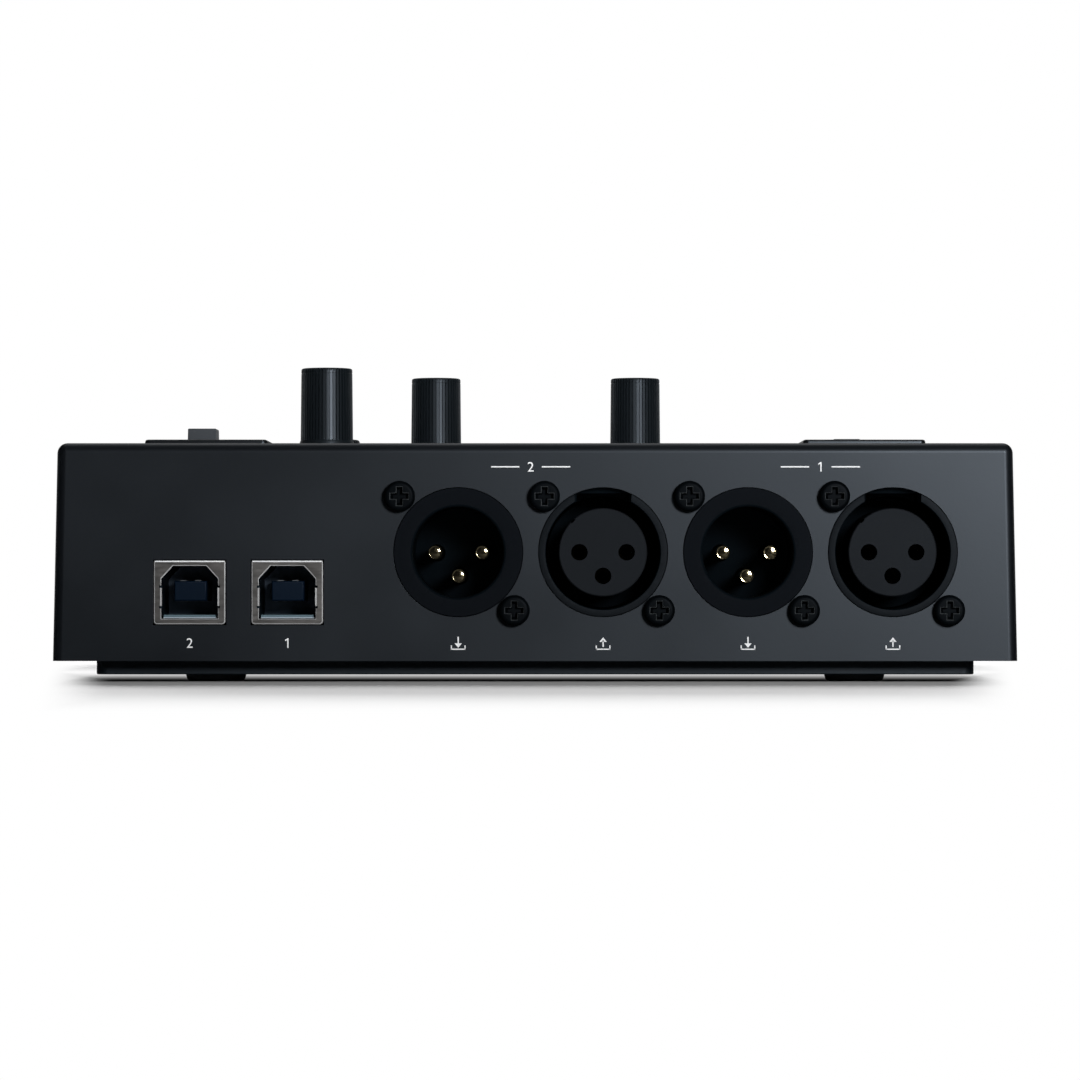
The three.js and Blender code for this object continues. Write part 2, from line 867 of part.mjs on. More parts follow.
function controlBoard() {
  const board = block(
    around(0, 2 * controlBoardHalfWidth),
    [frontY + controlBoardFromFront, fromRear(controlBoardFromRear)],
    [controlBoardUnderside, controlBoardTop],
  );
  const switches = [...padPlaces, buttonPlace].map(({ x, y }) => block(
    around(x, switchWidth),
    around(y, switchWidth),
    [controlBoardUnderside, switchTop],
  ));
  const header = block(
    around(0, headerWidth),
    around(fromRear(controlHeaderFromRear), headerLength),
    [controlBoardUnderside - headerHeight, controlBoardTop],
  );
  const cans = knobPlaces.map(({ x, y }) => join(
    block(around(x, encoderWidth), around(y, encoderWidth), [controlBoardUnderside, ceiling]),
    uprightBar(x, y, bushingRadius, [ceiling - fitGap, caseTopHeight]),
  ));
  const rotorFloor = controlBoardTop + encoderFloor;
  const canCuts = knobPlaces.map(({ x, y }) => join(
    uprightBar(x, y, rotorRadius + fitGap, [rotorFloor, rotorFloor + rotorThickness + 2 * fitGap]),
    uprightBar(x, y, shaftRadius + fitGap, [rotorFloor, caseTopHeight + cutOverrun]),
  ));
  return cut(join(board, ...switches, header, ...cans), ...canCuts);
}

// The ribbon leaves each header straight, and crosses over between the boards
function ribbonCable() {
  const low = new THREE.Vector2(mainHeaderFromRear, mainBoardTop + headerHeight + fitGap);
  const high = new THREE.Vector2(controlHeaderFromRear, controlBoardUnderside - headerHeight - fitGap);
  const middle = (low.y + high.y) / 2;
  const route = new THREE.CubicBezierCurve(
    low,
    new THREE.Vector2(low.x, middle),
    new THREE.Vector2(high.x, middle),
    high,
  );
  const line = route.getPoints(ribbonSteps);
  const offsetLine = (side) => line.map((point, i) => {
    const tangent = route.getTangent(i / ribbonSteps);
    const reach = side * ribbonThickness / 2;
    return new THREE.Vector2(point.x - tangent.y * reach, point.y + tangent.x * reach);
  });
  const shape = new THREE.Shape([...offsetLine(1), ...offsetLine(-1).reverse()]);
  const geometry = new THREE.ExtrudeGeometry(shape, { depth: ribbonWidth, bevelEnabled: false });
  geometry.translate(0, 0, -ribbonWidth / 2);
  const turn = new THREE.Matrix4().makeBasis(
    new THREE.Vector3(0, -1, 0),
    new THREE.Vector3(0, 0, 1),
    new THREE.Vector3(-1, 0, 0),
  );
  return toSolid(geometry.applyMatrix4(turn).translate(0, rearY, 0));
}

// Knobs, each in a frame whose origin is on its axis at the case's top face

function knob() {
  const socketTop = shaftReach + fitGap;
  return turnedUpright([
    [shaftRadius + fitGap, fitGap],
    [knobCollarRadius, fitGap],
    [knobCollarRadius, knobCollarHeight],
    [knobBaseRadius, knobPlainHeight],
    ...shoulder(knobTopRadius, knobTopRadius - knobTopRounding, knobHeight - knobTopRounding, knobHeight),
    [0, knobHeight],
    [0, socketTop],
    [shaftRadius + fitGap, socketTop],
    [shaftRadius + fitGap, fitGap],
  ]);
}

function encoderShaft() {
  const rotorUnderside = controlBoardTop + encoderFloor + fitGap - caseTopHeight;
  return turnedUpright([
    [0, rotorUnderside],
    [rotorRadius, rotorUnderside],
    [rotorRadius, rotorUnderside + rotorThickness],
    [shaftRadius, rotorUnderside + rotorThickness],
    [shaftRadius, shaftReach],
    [0, shaftReach],
  ], smallRoundSides);
}

function addKnobs(controller) {
  knobPlaces.forEach(({ x, y }, i) => {
    const control = new THREE.Group();
    control.position.set(x, y, caseTopHeight);
    control.add(piece(`knob_${i + 1}`, knob(), 'knob'));
    control.add(piece(`encoder_shaft_${i + 1}`, encoderShaft(), 'steel'));
    controller.add(control);
  });
}

// Keys

function roundButton() {
  const top = caseTopHeight + buttonHeight;
  return turnedUpright([
    [0, plungerTip],
    [plungerRadius, plungerTip],
    [plungerRadius, flangeUnderside],
    [buttonRadius + keyFlangeOverhang, flangeUnderside],
    [buttonRadius + keyFlangeOverhang, flangeTop],
    [buttonRadius, flangeTop],
    ...shoulder(buttonRadius, buttonRadius - buttonEdge, top - buttonEdge, top),
    [0, top],
  ]);
}

function pad() {
  const flange = slabAt(
    0,
    0,
    padWidth + 2 * keyFlangeOverhang,
    padDepth + 2 * keyFlangeOverhang,
    padCornerRadius,
    [flangeUnderside, flangeTop],
  );
  const cap = slabAt(
    0,
    0,
    padWidth,
    padDepth,
    padCornerRadius,
    [flangeUnderside + fitGap, caseTopHeight + padHeight],
    padEdgeRadius,
  );
  return join(flange, cap, uprightBar(0, 0, plungerRadius, [plungerTip, flangeTop]));
}

function addKeys(controller) {
  const button = piece('round_button', roundButton(), 'knob');
  button.position.set(buttonPlace.x, buttonPlace.y, 0);
  controller.add(button);
  padPlaces.forEach(({ x, y }, i) => {
    const mesh = piece(`pad_${i + 1}`, pad(), 'pad');
    mesh.position.set(x, y, 0);
    controller.add(mesh);
  });
}

// Faders

function faderPlate(side) {
  const plate = slabAt(
    side.plateX,
    fromRear(faderPlateFromRear + faderPlateLength / 2),
    faderPlateWidth,
    faderPlateLength,
    faderPlateCornerRadius,
    [caseTopHeight, faderPlateTop],
  );
  return cut(plate, faderSlot(side.x, [caseTopHeight - cutOverrun, faderPlateTop + cutOverrun]));
}

function faderTrack(side) {
  const middle = fromRear(faderTravelMiddle);
  const carriageFloor = controlBoardTop + faderTrackFloor;
  const carriageRun = faderTravel + faderCarriageLength + 2 * fitGap;
  return cut(
    block(
      around(side.x, faderTrackWidth),
      around(middle, faderTravel + faderTrackSpare),
      [controlBoardTop, faderTrackTop],
    ),
    block(
      around(side.x, faderCarriageWidth + 2 * fitGap),
      around(middle, carriageRun),
      [carriageFloor, carriageFloor + faderCarriageHeight + 2 * fitGap],
    ),
    faderSlot(side.x, [carriageFloor + fitGap, faderTrackTop + cutOverrun]),
  );
}

function faderLever() {
  const underside = controlBoardTop + faderTrackFloor + fitGap;
  const carriage = block(
    around(0, faderCarriageWidth),
    around(0, faderCarriageLength),
    [underside, underside + faderCarriageHeight],
  );
  const bladeTop = caseTopHeight + faderCapTop - faderCapRoof - fitGap;
  const blade = block(around(0, faderBladeWidth), around(0, faderBladeLength), [underside, bladeTop]);
  return join(carriage, blade);
}

// The cap's two ends slope in towards its top
function faderCap() {
  const underside = faderPlateTop + fitGap;
  const top = caseTopHeight + faderCapTop;
  const y = faderCapLength / 2;
  const shape = new THREE.Shape();
  shape.moveTo(-y, underside);
  shape.lineTo(y, underside);
  shape.lineTo(y - faderCapSlope, top);
  shape.lineTo(faderCapSlope - y, top);
  const geometry = new THREE.ExtrudeGeometry(shape, { depth: faderCapWidth, bevelEnabled: false });
  geometry.translate(0, 0, -faderCapWidth / 2);
  const turn = new THREE.Matrix4().makeBasis(
    new THREE.Vector3(0, 1, 0),
    new THREE.Vector3(0, 0, 1),
    new THREE.Vector3(1, 0, 0),
  );
  return cut(
    toSolid(geometry.applyMatrix4(turn)),
    block(
      around(0, faderBladeWidth + 2 * fitGap),
      around(0, faderBladeLength + 2 * fitGap),
      [underside - cutOverrun, top - faderCapRoof],
    ),
  );
}

function addFaders(controller) {
  for (const side of faderSides) {
    controller.add(piece(`fader_plate_${side.name}`, faderPlate(side), 'faderPlate'));
    controller.add(piece(`fader_track_${side.name}`, faderTrack(side), 'track'));
    const slider = new THREE.Group();
    slider.position.set(side.x, fromRear(side.distance), 0);
    slider.add(piece(`fader_lever_${side.name}`, faderLever(), 'steel'));
    slider.add(piece(`fader_cap_${side.name}`, faderCap(), 'faderCap'));
    controller.add(slider);
  }
}

// Assembly

const controller = new THREE.Group();
controller.add(piece('top_shell', topShell(), 'casePaint'));
controller.add(piece('bottom_cover', bottomCover(), 'cover'));
footPlaces.forEach(({ x, y }, i) => {
  const mesh = piece(`foot_${i + 1}`, foot(), 'rubber');
  mesh.position.set(x, y, 0);
  controller.add(mesh);
});
caseCorners.forEach(({ x, y }, i) => {
  const mesh = piece(`case_screw_${i + 1}`, caseScrew(), 'blackScrew');
  mesh.position.set(x, y, footThickness + coverRecessDepth);
  controller.add(mesh);
});
addSockets(controller);
addPorts(controller);
controller.add(piece('main_board', mainBoard(), 'board'));
controller.add(piece('control_board', controlBoard(), 'board'));
controller.add(piece('ribbon_cable', ribbonCable(), 'ribbon'));
addKnobs(controller);
addKeys(controller);
addFaders(controller);

export default controller;
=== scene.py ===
"""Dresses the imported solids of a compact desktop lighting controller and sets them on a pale
floor, seen from behind. Metres, +Z up, rear panel at +Y, the user at -Y."""

import math

import bmesh
import bpy
from bpy.props import FloatProperty, FloatVectorProperty, IntProperty, PointerProperty
from bpy.types import NodeSocket, Operator, Panel, PropertyGroup, Scene
from mathutils import Matrix, Vector


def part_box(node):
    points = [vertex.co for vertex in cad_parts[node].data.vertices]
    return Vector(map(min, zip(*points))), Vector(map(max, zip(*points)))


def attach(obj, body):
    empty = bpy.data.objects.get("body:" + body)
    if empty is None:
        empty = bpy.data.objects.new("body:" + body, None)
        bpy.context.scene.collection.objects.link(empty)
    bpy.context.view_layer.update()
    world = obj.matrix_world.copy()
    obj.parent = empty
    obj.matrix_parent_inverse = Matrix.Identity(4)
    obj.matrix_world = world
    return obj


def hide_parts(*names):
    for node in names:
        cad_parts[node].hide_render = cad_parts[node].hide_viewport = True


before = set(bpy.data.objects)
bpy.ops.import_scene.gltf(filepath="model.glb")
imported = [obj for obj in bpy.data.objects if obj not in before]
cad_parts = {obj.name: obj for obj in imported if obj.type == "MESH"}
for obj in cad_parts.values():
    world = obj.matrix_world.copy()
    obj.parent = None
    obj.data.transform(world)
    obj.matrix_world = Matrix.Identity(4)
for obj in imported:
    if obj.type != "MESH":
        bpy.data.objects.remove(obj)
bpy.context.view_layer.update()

bl_info = {
    "name": "Lighting controller",
    "version": (1, 0, 0),
    "blender": (4, 5, 0),
    "location": "View3D > Sidebar > Controller",
    "description": "Makes the visible pieces of a desktop lighting controller, and its studio",
    "category": "Add Mesh",
}

mm = 0.001
SOLVER_SCALE = 1000
SHARP_ANGLE = math.radians(38)

SHELL_LOW, SHELL_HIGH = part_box("top_shell")
PANEL_Y = SHELL_HIGH.y
RIM_Z = SHELL_LOW.z
TOP_Z = SHELL_HIGH.z
KEY_FLANGE_Z = TOP_Z - 3.5 * mm
SOCKETS = ("in_2", "out_2", "in_1", "out_1")
PORTS = ("2", "1")
SIDES = ("right", "left")
KNOB_BODIES = ("first_knob", "second_knob", "third_knob")


def at(*values):
    """Millimetres as metres."""
    return tuple(value * mm for value in values)


def corners(*pairs):
    """The corners of an outline, from millimetres."""
    return [at(*pair) for pair in pairs]


def middle(node):
    low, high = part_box(node)
    return (low + high) / 2


# Sizes and colours that a user would change

def length(name, description, default):
    """A length, with its default in millimetres."""
    return FloatProperty(name=name, description=description, default=default * mm,
                         unit="LENGTH", precision=5)


def colour(name, description, default):
    return FloatVectorProperty(name=name, description=description, default=default,
                               subtype="COLOR", size=3, min=0, max=1)


def power(name, description, default):
    return FloatProperty(name=name, description=description, default=default, min=0, unit="POWER")


class CaseSettings(PropertyGroup):
    edge_radius: length("Edge radius", "Rounding of the shell's top and upright edges", 1.7)
    wall: length("Wall", "Thickness of the shell's walls", 2.2)
    top_wall: length("Top wall", "Thickness of the shell's top", 2)
    side_lean: length("Side lean", "How far each side leans in towards the top", 0.75)
    pan_inset: length("Pan inset", "How far the bottom pan stands in from the shell", 6.7)
    pan_corner: length("Pan corner radius", "Rounding of the pan's upright corners", 2)
    pan_edge: length("Pan edge radius", "Rounding of the pan's lower edge", 0.2)
    cover_wall: length("Cover wall", "Thickness of the bottom cover", 1.8)
    paint: colour("Paint", "Colour of the shell", (0.0035, 0.0043, 0.0057))
    cover_paint: colour("Cover paint", "Colour of the bottom cover", (0.0036, 0.0075, 0.0115))
    legend_ink: colour("Legend ink", "Colour of the printed signs", (0.93, 0.94, 0.95))


class SocketSettings(PropertyGroup):
    nose_radius: length("Nose radius", "Radius of the round front of each socket", 10.9)
    cup_radius: length("Cup radius", "Radius of the male socket's cup", 7.68)
    mouth_radius: length("Mouth rounding", "Rounding of the cup's mouth", 0.4)
    cup_depth: length("Cup depth", "Depth of the male socket's cup", 16.5)
    sleeve_radius: length("Sleeve radius", "Inner radius of the female socket's ring", 9.7)
    insert_radius: length("Insert radius", "Radius of the female socket's contact block", 7.48)
    hole_radius: length("Contact hole radius", "Radius of each contact hole", 1.4)
    male_plastic: colour("Male plastic", "Colour of the male sockets", (0.0034, 0.0044, 0.0062))
    female_plastic: colour("Female plastic", "Colour of the female rings", (0.0050, 0.0063, 0.0078))
    insert_plastic: colour("Insert", "Colour of the contact blocks", (0.0065, 0.0075, 0.0092))
    gold: colour("Gold", "Colour of the plated pins", (0.80, 0.68, 0.42))


class PortSettings(PropertyGroup):
    edge_radius: length("Edge radius", "Rounding of the metal shell's front edge", 0.18)
    corner_radius: length("Corner radius", "Rounding of the shell's lower corners", 0.55)
    mouth_width: length("Mouth width", "Width of the opening", 9.6)
    mouth_roof: length("Mouth roof", "Metal above the opening", 0.9)
    mouth_floor: length("Mouth floor", "Metal below the opening", 0.95)
    nickel: colour("Nickel", "Colour of the metal shells", (0.217, 0.210, 0.204))
    tongue: colour("Tongue", "Colour of the tongue's plastic", (0.0015, 0.0062, 0.0155))


class ControlSettings(PropertyGroup):
    rib_count: IntProperty(name="Ribs", description="Ribs round each knob", default=46,
                           min=12, max=90)
    rib_depth: length("Rib depth", "Depth of the grooves between a knob's ribs", 0.28)
    knob_plastic: colour("Knob plastic", "Colour of the knobs", (0.0110, 0.0152, 0.0187))
    pad_rubber: colour("Pad rubber", "Colour of the pads", (0.035, 0.038, 0.042))
    fader_plate: colour("Fader plate", "Colour of the fader plates", (0.006, 0.007, 0.008))
    fader_cap: colour("Fader cap", "Colour of the fader caps", (0.068, 0.074, 0.082))


class StudioSettings(PropertyGroup):
    overhead_power: power("Overhead light", "Wide soft light above the user's side", 10.4)
    sheen_power: power("Sheen light", "The part of it that shows in glossy faces", 2.8)
    low_power: power("Low light", "Long low light on the user's side", 34)
    panel_power: power("Panel light", "Small soft light that the rear panel faces", 3.5)
    ambient: FloatProperty(name="Ambient", description="Even light from all round", default=0.04,
                           min=0, max=1, subtype="FACTOR")


SETTINGS = {
    "controller_case": CaseSettings,
    "controller_sockets": SocketSettings,
    "controller_ports": PortSettings,
    "controller_controls": ControlSettings,
    "controller_studio": StudioSettings,
}


# Shapes

def cuboid(low, high):
    shape = bmesh.new()
    bmesh.ops.create_cube(shape, size=1)
    bmesh.ops.scale(shape, vec=Vector(high) - Vector(low), verts=shape.verts)
    return shift(shape, (Vector(high) + Vector(low)) / 2)


def block(place, x, y, low, high):
    """A box round a place, from half its width and half its depth."""
    return cuboid((place.x - x, place.y - y, low), (place.x + x, place.y + y, high))


def turned(profile, steps=64):
    """A turned solid round the Z axis, from its outline in (radius, height)."""
    shape = bmesh.new()
    points = [shape.verts.new((radius, 0, height)) for radius, height in profile]
    pairs = list(zip(points, points[1:]))
    if profile[0][0] > 0 and profile[-1][0] > 0:
        pairs.append((points[-1], points[0]))
    edges = [shape.edges.new(pair) for pair in pairs]
    bmesh.ops.spin(shape, geom=points + edges, cent=(0, 0, 0), axis=(0, 0, 1),
                   angle=2 * math.pi, steps=steps, use_merge=True)
    bmesh.ops.remove_doubles(shape, verts=shape.verts, dist=1e-7)
    bmesh.ops.recalc_face_normals(shape, faces=shape.faces)
    return shape


def tube(inner, outer, low, high, steps=48):
    """A tube along Z, or a rod where the inner radius is 0."""
    return turned([(inner, low), (outer, low), (outer, high), (inner, high)], steps)


def drawn_verts(made):
    return [part for part in made["geom"] if isinstance(part, bmesh.types.BMVert)]


def prism(outline, low, high):
    """An upright prism from its outline in (x, y)."""
    shape = bmesh.new()
    base = shape.faces.new([shape.verts.new((x, y, low)) for x, y in outline])
    top = drawn_verts(bmesh.ops.extrude_face_region(shape, geom=[base]))
    bmesh.ops.translate(shape, vec=(0, 0, high - low), verts=top)
    bmesh.ops.recalc_face_normals(shape, faces=shape.faces)
    return shape


def flared_prism(outline, wide, low, mouth, rim):
    """A cutting tool that widens as it passes the mouth, where its faces get material index 2."""
    tool = prism(outline, low, mouth - rim)
    for start, height in ((mouth - rim, mouth + rim), (mouth + rim, mouth + 1 * mm)):
        lid = [face for face in tool.faces if near(face.calc_center_median().z, start)]
        for vert in drawn_verts(bmesh.ops.extrude_face_region(tool, geom=lid)):
            if near(start, mouth - rim):
                reach = [math.dist(point, vert.co.xy) for point in outline]
                vert.co.xy = wide[reach.index(min(reach))]
            vert.co.z = height
        bmesh.ops.delete(tool, geom=[face for face in lid if face.is_valid], context="FACES_ONLY")
    bmesh.ops.recalc_face_normals(tool, faces=tool.faces)
    for face in tool.faces:
        heights = [vert.co.z for vert in face.verts]
        flared = min(heights) < mouth < max(heights) < mouth + 2 * rim
        face.material_index = 2 if flared else 1
    return tool


def turn(shape, matrix):
    bmesh.ops.transform(shape, matrix=matrix, verts=shape.verts)
    return shape


def shift(shape, vec):
    bmesh.ops.translate(shape, vec=vec, verts=shape.verts)
    return shape


def standing(shape, place, height=0):
    return shift(shape, (place.x, place.y, height))


def on_panel(shape, place, y=PANEL_Y):
    """Turns a shape made along Z, so that its top looks out of the rear panel and its +Y is up."""
    turn(shape, Matrix(((-1, 0, 0, 0), (0, 0, 1, 0), (0, 1, 0, 0), (0, 0, 0, 1))))
    return shift(shape, (place.x, y, place.z))


def near(a, b):
    return abs(a - b) < 1e-6


def ring(radius, height):
    """Passes the edges of one ring of a turned shape, before it is moved."""
    def on_ring(point):
        return near(math.hypot(point.x, point.y), radius) and near(point.z, height)
    return lambda a, b: on_ring(a) and on_ring(b)


def upright(a, b):
    return near(a.x, b.x) and near(a.y, b.y)


def level_at(height):
    return lambda a, b: near(a.z, height) and near(b.z, height)


def soften(shape, test, width, segments=3, index=None, cuts=False):
    """Rounds the edges whose two points pass a test, or of these only the ones that a cut leaves
    in the shape's own surface. The rounding gets a material index where one is given."""
    edges = [edge for edge in shape.edges if test(edge.verts[0].co, edge.verts[1].co)]
    if cuts:
        edges = [edge for edge in edges if len(edge.link_faces) == 2
                 and {face.material_index for face in edge.link_faces} == {0, 1}]
    if edges:
        made = bmesh.ops.bevel(shape, geom=edges, offset=width, offset_type="OFFSET",
                               segments=segments, profile=0.5, affect="EDGES", material=-1,
                               clamp_overlap=True)
        if index is not None:
            for face in made["faces"]:
                face.material_index = index
    return shape


def rounded_slab(place, width, depth, radius, low, high, segments=5):
    return soften(block(place, width / 2, depth / 2, low, high), upright, radius, segments)


def finished(shape, index=0):
    for face in shape.faces:
        face.material_index = index
    return shape


def as_mesh(shape, name):
    mesh = bpy.data.meshes.new(name)
    shape.to_mesh(mesh)
    shape.free()
    return mesh


def added(name, data):
    """A new object in the scene."""
    made = bpy.data.objects.new(name, data)
    bpy.context.scene.collection.objects.link(made)
    return made


def evaluated(made):
    """The shape that an object has with its modifiers."""
    bpy.context.view_layer.update()
    depsgraph = bpy.context.evaluated_depsgraph_get()
    mesh = bpy.data.meshes.new_from_object(made.evaluated_get(depsgraph))
    shape = bmesh.new()
    shape.from_mesh(mesh)
    bpy.data.meshes.remove(mesh)
    return shape


def together(*shapes):
    whole = bmesh.new()
    for shape in shapes:
        mesh = as_mesh(shape, "loose")
        whole.from_mesh(mesh)
        bpy.data.meshes.remove(mesh)
    return whole


def worked(shape, tools, operation):
    """Joins or cuts a shape. A face that a cutting tool leaves gets material index 1."""
    made = []
    for index, part in enumerate([shape, *tools]):
        cutting = index > 0 and operation == "DIFFERENCE"
        for face in part.faces:
            face.material_index = max(face.material_index, int(cutting))
        mesh = as_mesh(part, "work")
        mesh.transform(Matrix.Scale(SOLVER_SCALE, 4))
        for _ in range(3):
            mesh.materials.append(None)
        made.append(added("work", mesh))
    for tool in made[1:]:
        step = made[0].modifiers.new("step", "BOOLEAN")
        step.operation = operation
        step.solver = "EXACT"
        step.object = tool
    result = evaluated(made[0])
    if not result.faces:
        raise RuntimeError("a cut left nothing of its piece")
    for work in made:
        mesh = work.data
        bpy.data.objects.remove(work)
        bpy.data.meshes.remove(mesh)
    return turn(result, Matrix.Scale(1 / SOLVER_SCALE, 4))


def cut(shape, *tools):
    return worked(shape, tools, "DIFFERENCE")


def joined(shape, *tools):
    return worked(shape, tools, "UNION")


def present(name, shape, materials, node="", body="root"):
    """Makes a piece of a shape, in a node's place, and hangs it on its body. Print, which takes
    no node's place, stays flat."""
    mesh = as_mesh(shape, name)
    mesh.validate()
    for material in materials:
        mesh.materials.append(material)
    piece = added(name, mesh)
    if node:
        mesh.polygons.foreach_set("use_smooth", [True] * len(mesh.polygons))
        mesh.set_sharp_from_angle(angle=SHARP_ANGLE)
        weighted = piece.modifiers.new("Weighted normals", "WEIGHTED_NORMAL")
        weighted.keep_sharp = True
        weighted.weight = 90
    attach(piece, body)
    if node:
        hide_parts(node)


# Nodes

def feed(tree, made, inputs):
    """Links each input that is given as a socket, and types in the others."""
    for name, value in inputs.items():
        if isinstance(value, NodeSocket):
            tree.links.new(value, made.inputs[name])
        else:
            made.inputs[name].default_value = value
    return made


def put(tree, kind, inputs=None, **settings):
    made = tree.nodes.new(kind)
    for name, value in settings.items():
        setattr(made, name, value)
    return feed(tree, made, inputs or {})


def maths(tree, operation, *values):
    made = put(tree, "ShaderNodeMath", dict(enumerate(values)), operation=operation)
    return made.outputs[0]


def ranged(tree, value, start, end, low=0, high=1, interpolation="LINEAR"):
    """A value taken from one range to another."""
    inputs = {"Value": value, "From Min": start, "From Max": end, "To Min": low, "To Max": high}
    made = put(tree, "ShaderNodeMapRange", inputs, interpolation_type=interpolation)
    return made.outputs["Result"]


def eased(tree, value, start, end, high=1):
    return ranged(tree, value, start, end, 0, high, "SMOOTHSTEP")


def spread(tree, value, low, high):
    """A value from 0.3 to 0.7 of a noise, taken to a range of its own."""
    return ranged(tree, value, 0.3, 0.7, low, high)


def noise(tree, vector, scale, detail, roughness=0.5):
    inputs = {"Vector": vector, "Scale": scale, "Detail": detail, "Roughness": roughness}
    return put(tree, "ShaderNodeTexNoise", inputs).outputs["Fac"]


def axes(tree, vector):
    return put(tree, "ShaderNodeSeparateXYZ", {0: vector}).outputs


def blend(tree, factor, *colours):
    """A mix of two colours, each given as a socket or as three values."""
    first, second = (given if isinstance(given, NodeSocket) else (*given, 1)
                     for given in colours)
    inputs = {"Factor": factor, "A": first, "B": second}
    return put(tree, "ShaderNodeMix", inputs, data_type="RGBA").outputs["Result"]


def varied(tree, cloud, base, variation):
    """A colour that clouds over by a share of itself."""
    dark = [value * (1 - variation) for value in base]
    light = [min(1, value * (1 + variation)) for value in base]
    return blend(tree, spread(tree, cloud, 0, 1), dark, light)


def either(tree, factor, first, second):
    inputs = {"Fac": factor, 1: first.outputs[0], 2: second.outputs[0]}
    return put(tree, "ShaderNodeMixShader", inputs)


# Node groups that the finishes share

def shared(tree, name, build, **values):
    """Puts a node group into a tree, after making the group at its first use."""
    inputs = {label.replace("_", " ").capitalize(): value for label, value in values.items()}
    group = bpy.data.node_groups.get(name)
    if not group:
        group = bpy.data.node_groups.new(name, "ShaderNodeTree")
        for label in inputs:
            kind = "NodeSocketVector" if label == "Vector" else "NodeSocketFloat"
            group.interface.new_socket(name=label, in_out="INPUT", socket_type=kind)
        results = build(group, group.nodes.new("NodeGroupInput").outputs)
        for label in results:
            group.interface.new_socket(name=label, in_out="OUTPUT", socket_type="NodeSocketFloat")
        feed(group, group.nodes.new("NodeGroupOutput"), results)
    made = tree.nodes.new("ShaderNodeGroup")
    made.node_tree = group
    return feed(tree, made, inputs).outputs


def moulded_grain(tree, vector, grain_size=1800, cloud_size=40):
    """Fine texture of moulded plastic and powder paint, with slow cloudy variation."""
    def build(group, given):
        fine = noise(group, given["Vector"], given["Grain size"], 3, 0.6)
        cells = put(group, "ShaderNodeTexVoronoi",
                    {"Vector": given["Vector"], "Scale": given["Grain size"]}, feature="SMOOTH_F1")
        return {"Height": maths(group, "MULTIPLY_ADD", fine, 0.6, cells.outputs["Distance"]),
                "Cloud": noise(group, given["Vector"], given["Cloud size"], 2)}
    return shared(tree, "Moulded grain", build,
                  vector=vector, grain_size=grain_size, cloud_size=cloud_size)


def drawn_lines(tree, vector, across, along):
    """Fine parallel lines of drawn or turned metal."""
    def build(group, given):
        stretch = put(group, "ShaderNodeCombineXYZ",
                      {"X": given["Along"], "Y": given["Along"], "Z": given["Across"]})
        scaled = put(group, "ShaderNodeVectorMath", {0: given["Vector"], 1: stretch.outputs[0]},
                     operation="MULTIPLY")
        return {"Height": noise(group, scaled.outputs[0], 1, 3)}
    return shared(tree, "Drawn lines", build, vector=vector, across=across, along=along)["Height"]


def settled_dust(tree, vector, amount):
    """A mask of thin dust on faces that look up."""
    def build(group, given):
        normal = put(group, "ShaderNodeNewGeometry").outputs["Normal"]
        upward = ranged(group, axes(group, normal)["Z"], 0.6, 1)
        thin = ranged(group, noise(group, given["Vector"], 260, 6), 0.42, 0.75)
        patches = maths(group, "MULTIPLY", upward, thin)
        return {"Mask": maths(group, "MULTIPLY", patches, given["Amount"])}
    return shared(tree, "Settled dust", build, vector=vector, amount=amount)["Mask"]


# Finishes, whose bumps are in millimetres

COOL_GLOSS = (0.76, 0.87, 1.0, 1.0)
DUST = (0.30, 0.30, 0.29)
HALF_WIRE = 0.635 * mm
RED_WIRE_X = 5.1 * mm


def finish(name, build):
    """A material, made at its first use. Build gives the shader's inputs, and the height,
    distance and strength of its bump."""
    if name not in bpy.data.materials:
        material = bpy.data.materials.new(name)
        material.use_nodes = True
        tree = material.node_tree
        place = put(tree, "ShaderNodeTexCoord").outputs["Object"]
        inputs, height, distance, strength = build(tree, place)
        relief = put(tree, "ShaderNodeBump",
                     {"Height": height, "Distance": distance * mm, "Strength": strength})
        inputs["Normal"] = relief.outputs["Normal"]
        feed(tree, tree.nodes["Principled BSDF"], inputs)
    return bpy.data.materials[name]


def moulded(name, base, roughness, grain=1800, bump=0.02, variation=0.12, dust=0, specular=0.5):
    """Moulded plastic, rubber or paint: grain, cloudy shade and gloss, and a little dust on top."""
    def build(tree, place):
        grained = moulded_grain(tree, place, grain)
        shade = varied(tree, grained["Cloud"], base, variation)
        if dust:
            shade = blend(tree, settled_dust(tree, place, dust), shade, DUST)
        gloss = spread(tree, grained["Cloud"], roughness - 0.04, roughness + 0.04)
        inputs = {"Base Color": shade, "Roughness": gloss, "Specular IOR Level": specular,
                  "Specular Tint": COOL_GLOSS}
        return inputs, grained["Height"], bump, 0.6
    return finish(name, build)


def metal(name, base, roughness, across=6000, along=120, bump=0.004, variation=0.1, metallic=1):
    """Plated or drawn metal with fine lines and uneven gloss."""
    def build(tree, place):
        lines = drawn_lines(tree, place, across, along)
        cloud = moulded_grain(tree, place, 900, 160)["Cloud"]
        gloss = spread(tree, lines, roughness - min(0.05, roughness / 2),
                       roughness + min(0.07, roughness / 2))
        inputs = {"Base Color": varied(tree, cloud, base, variation), "Roughness": gloss,
                  "Metallic": metallic}
        return inputs, lines, bump, 0.5
    return finish(name, build)


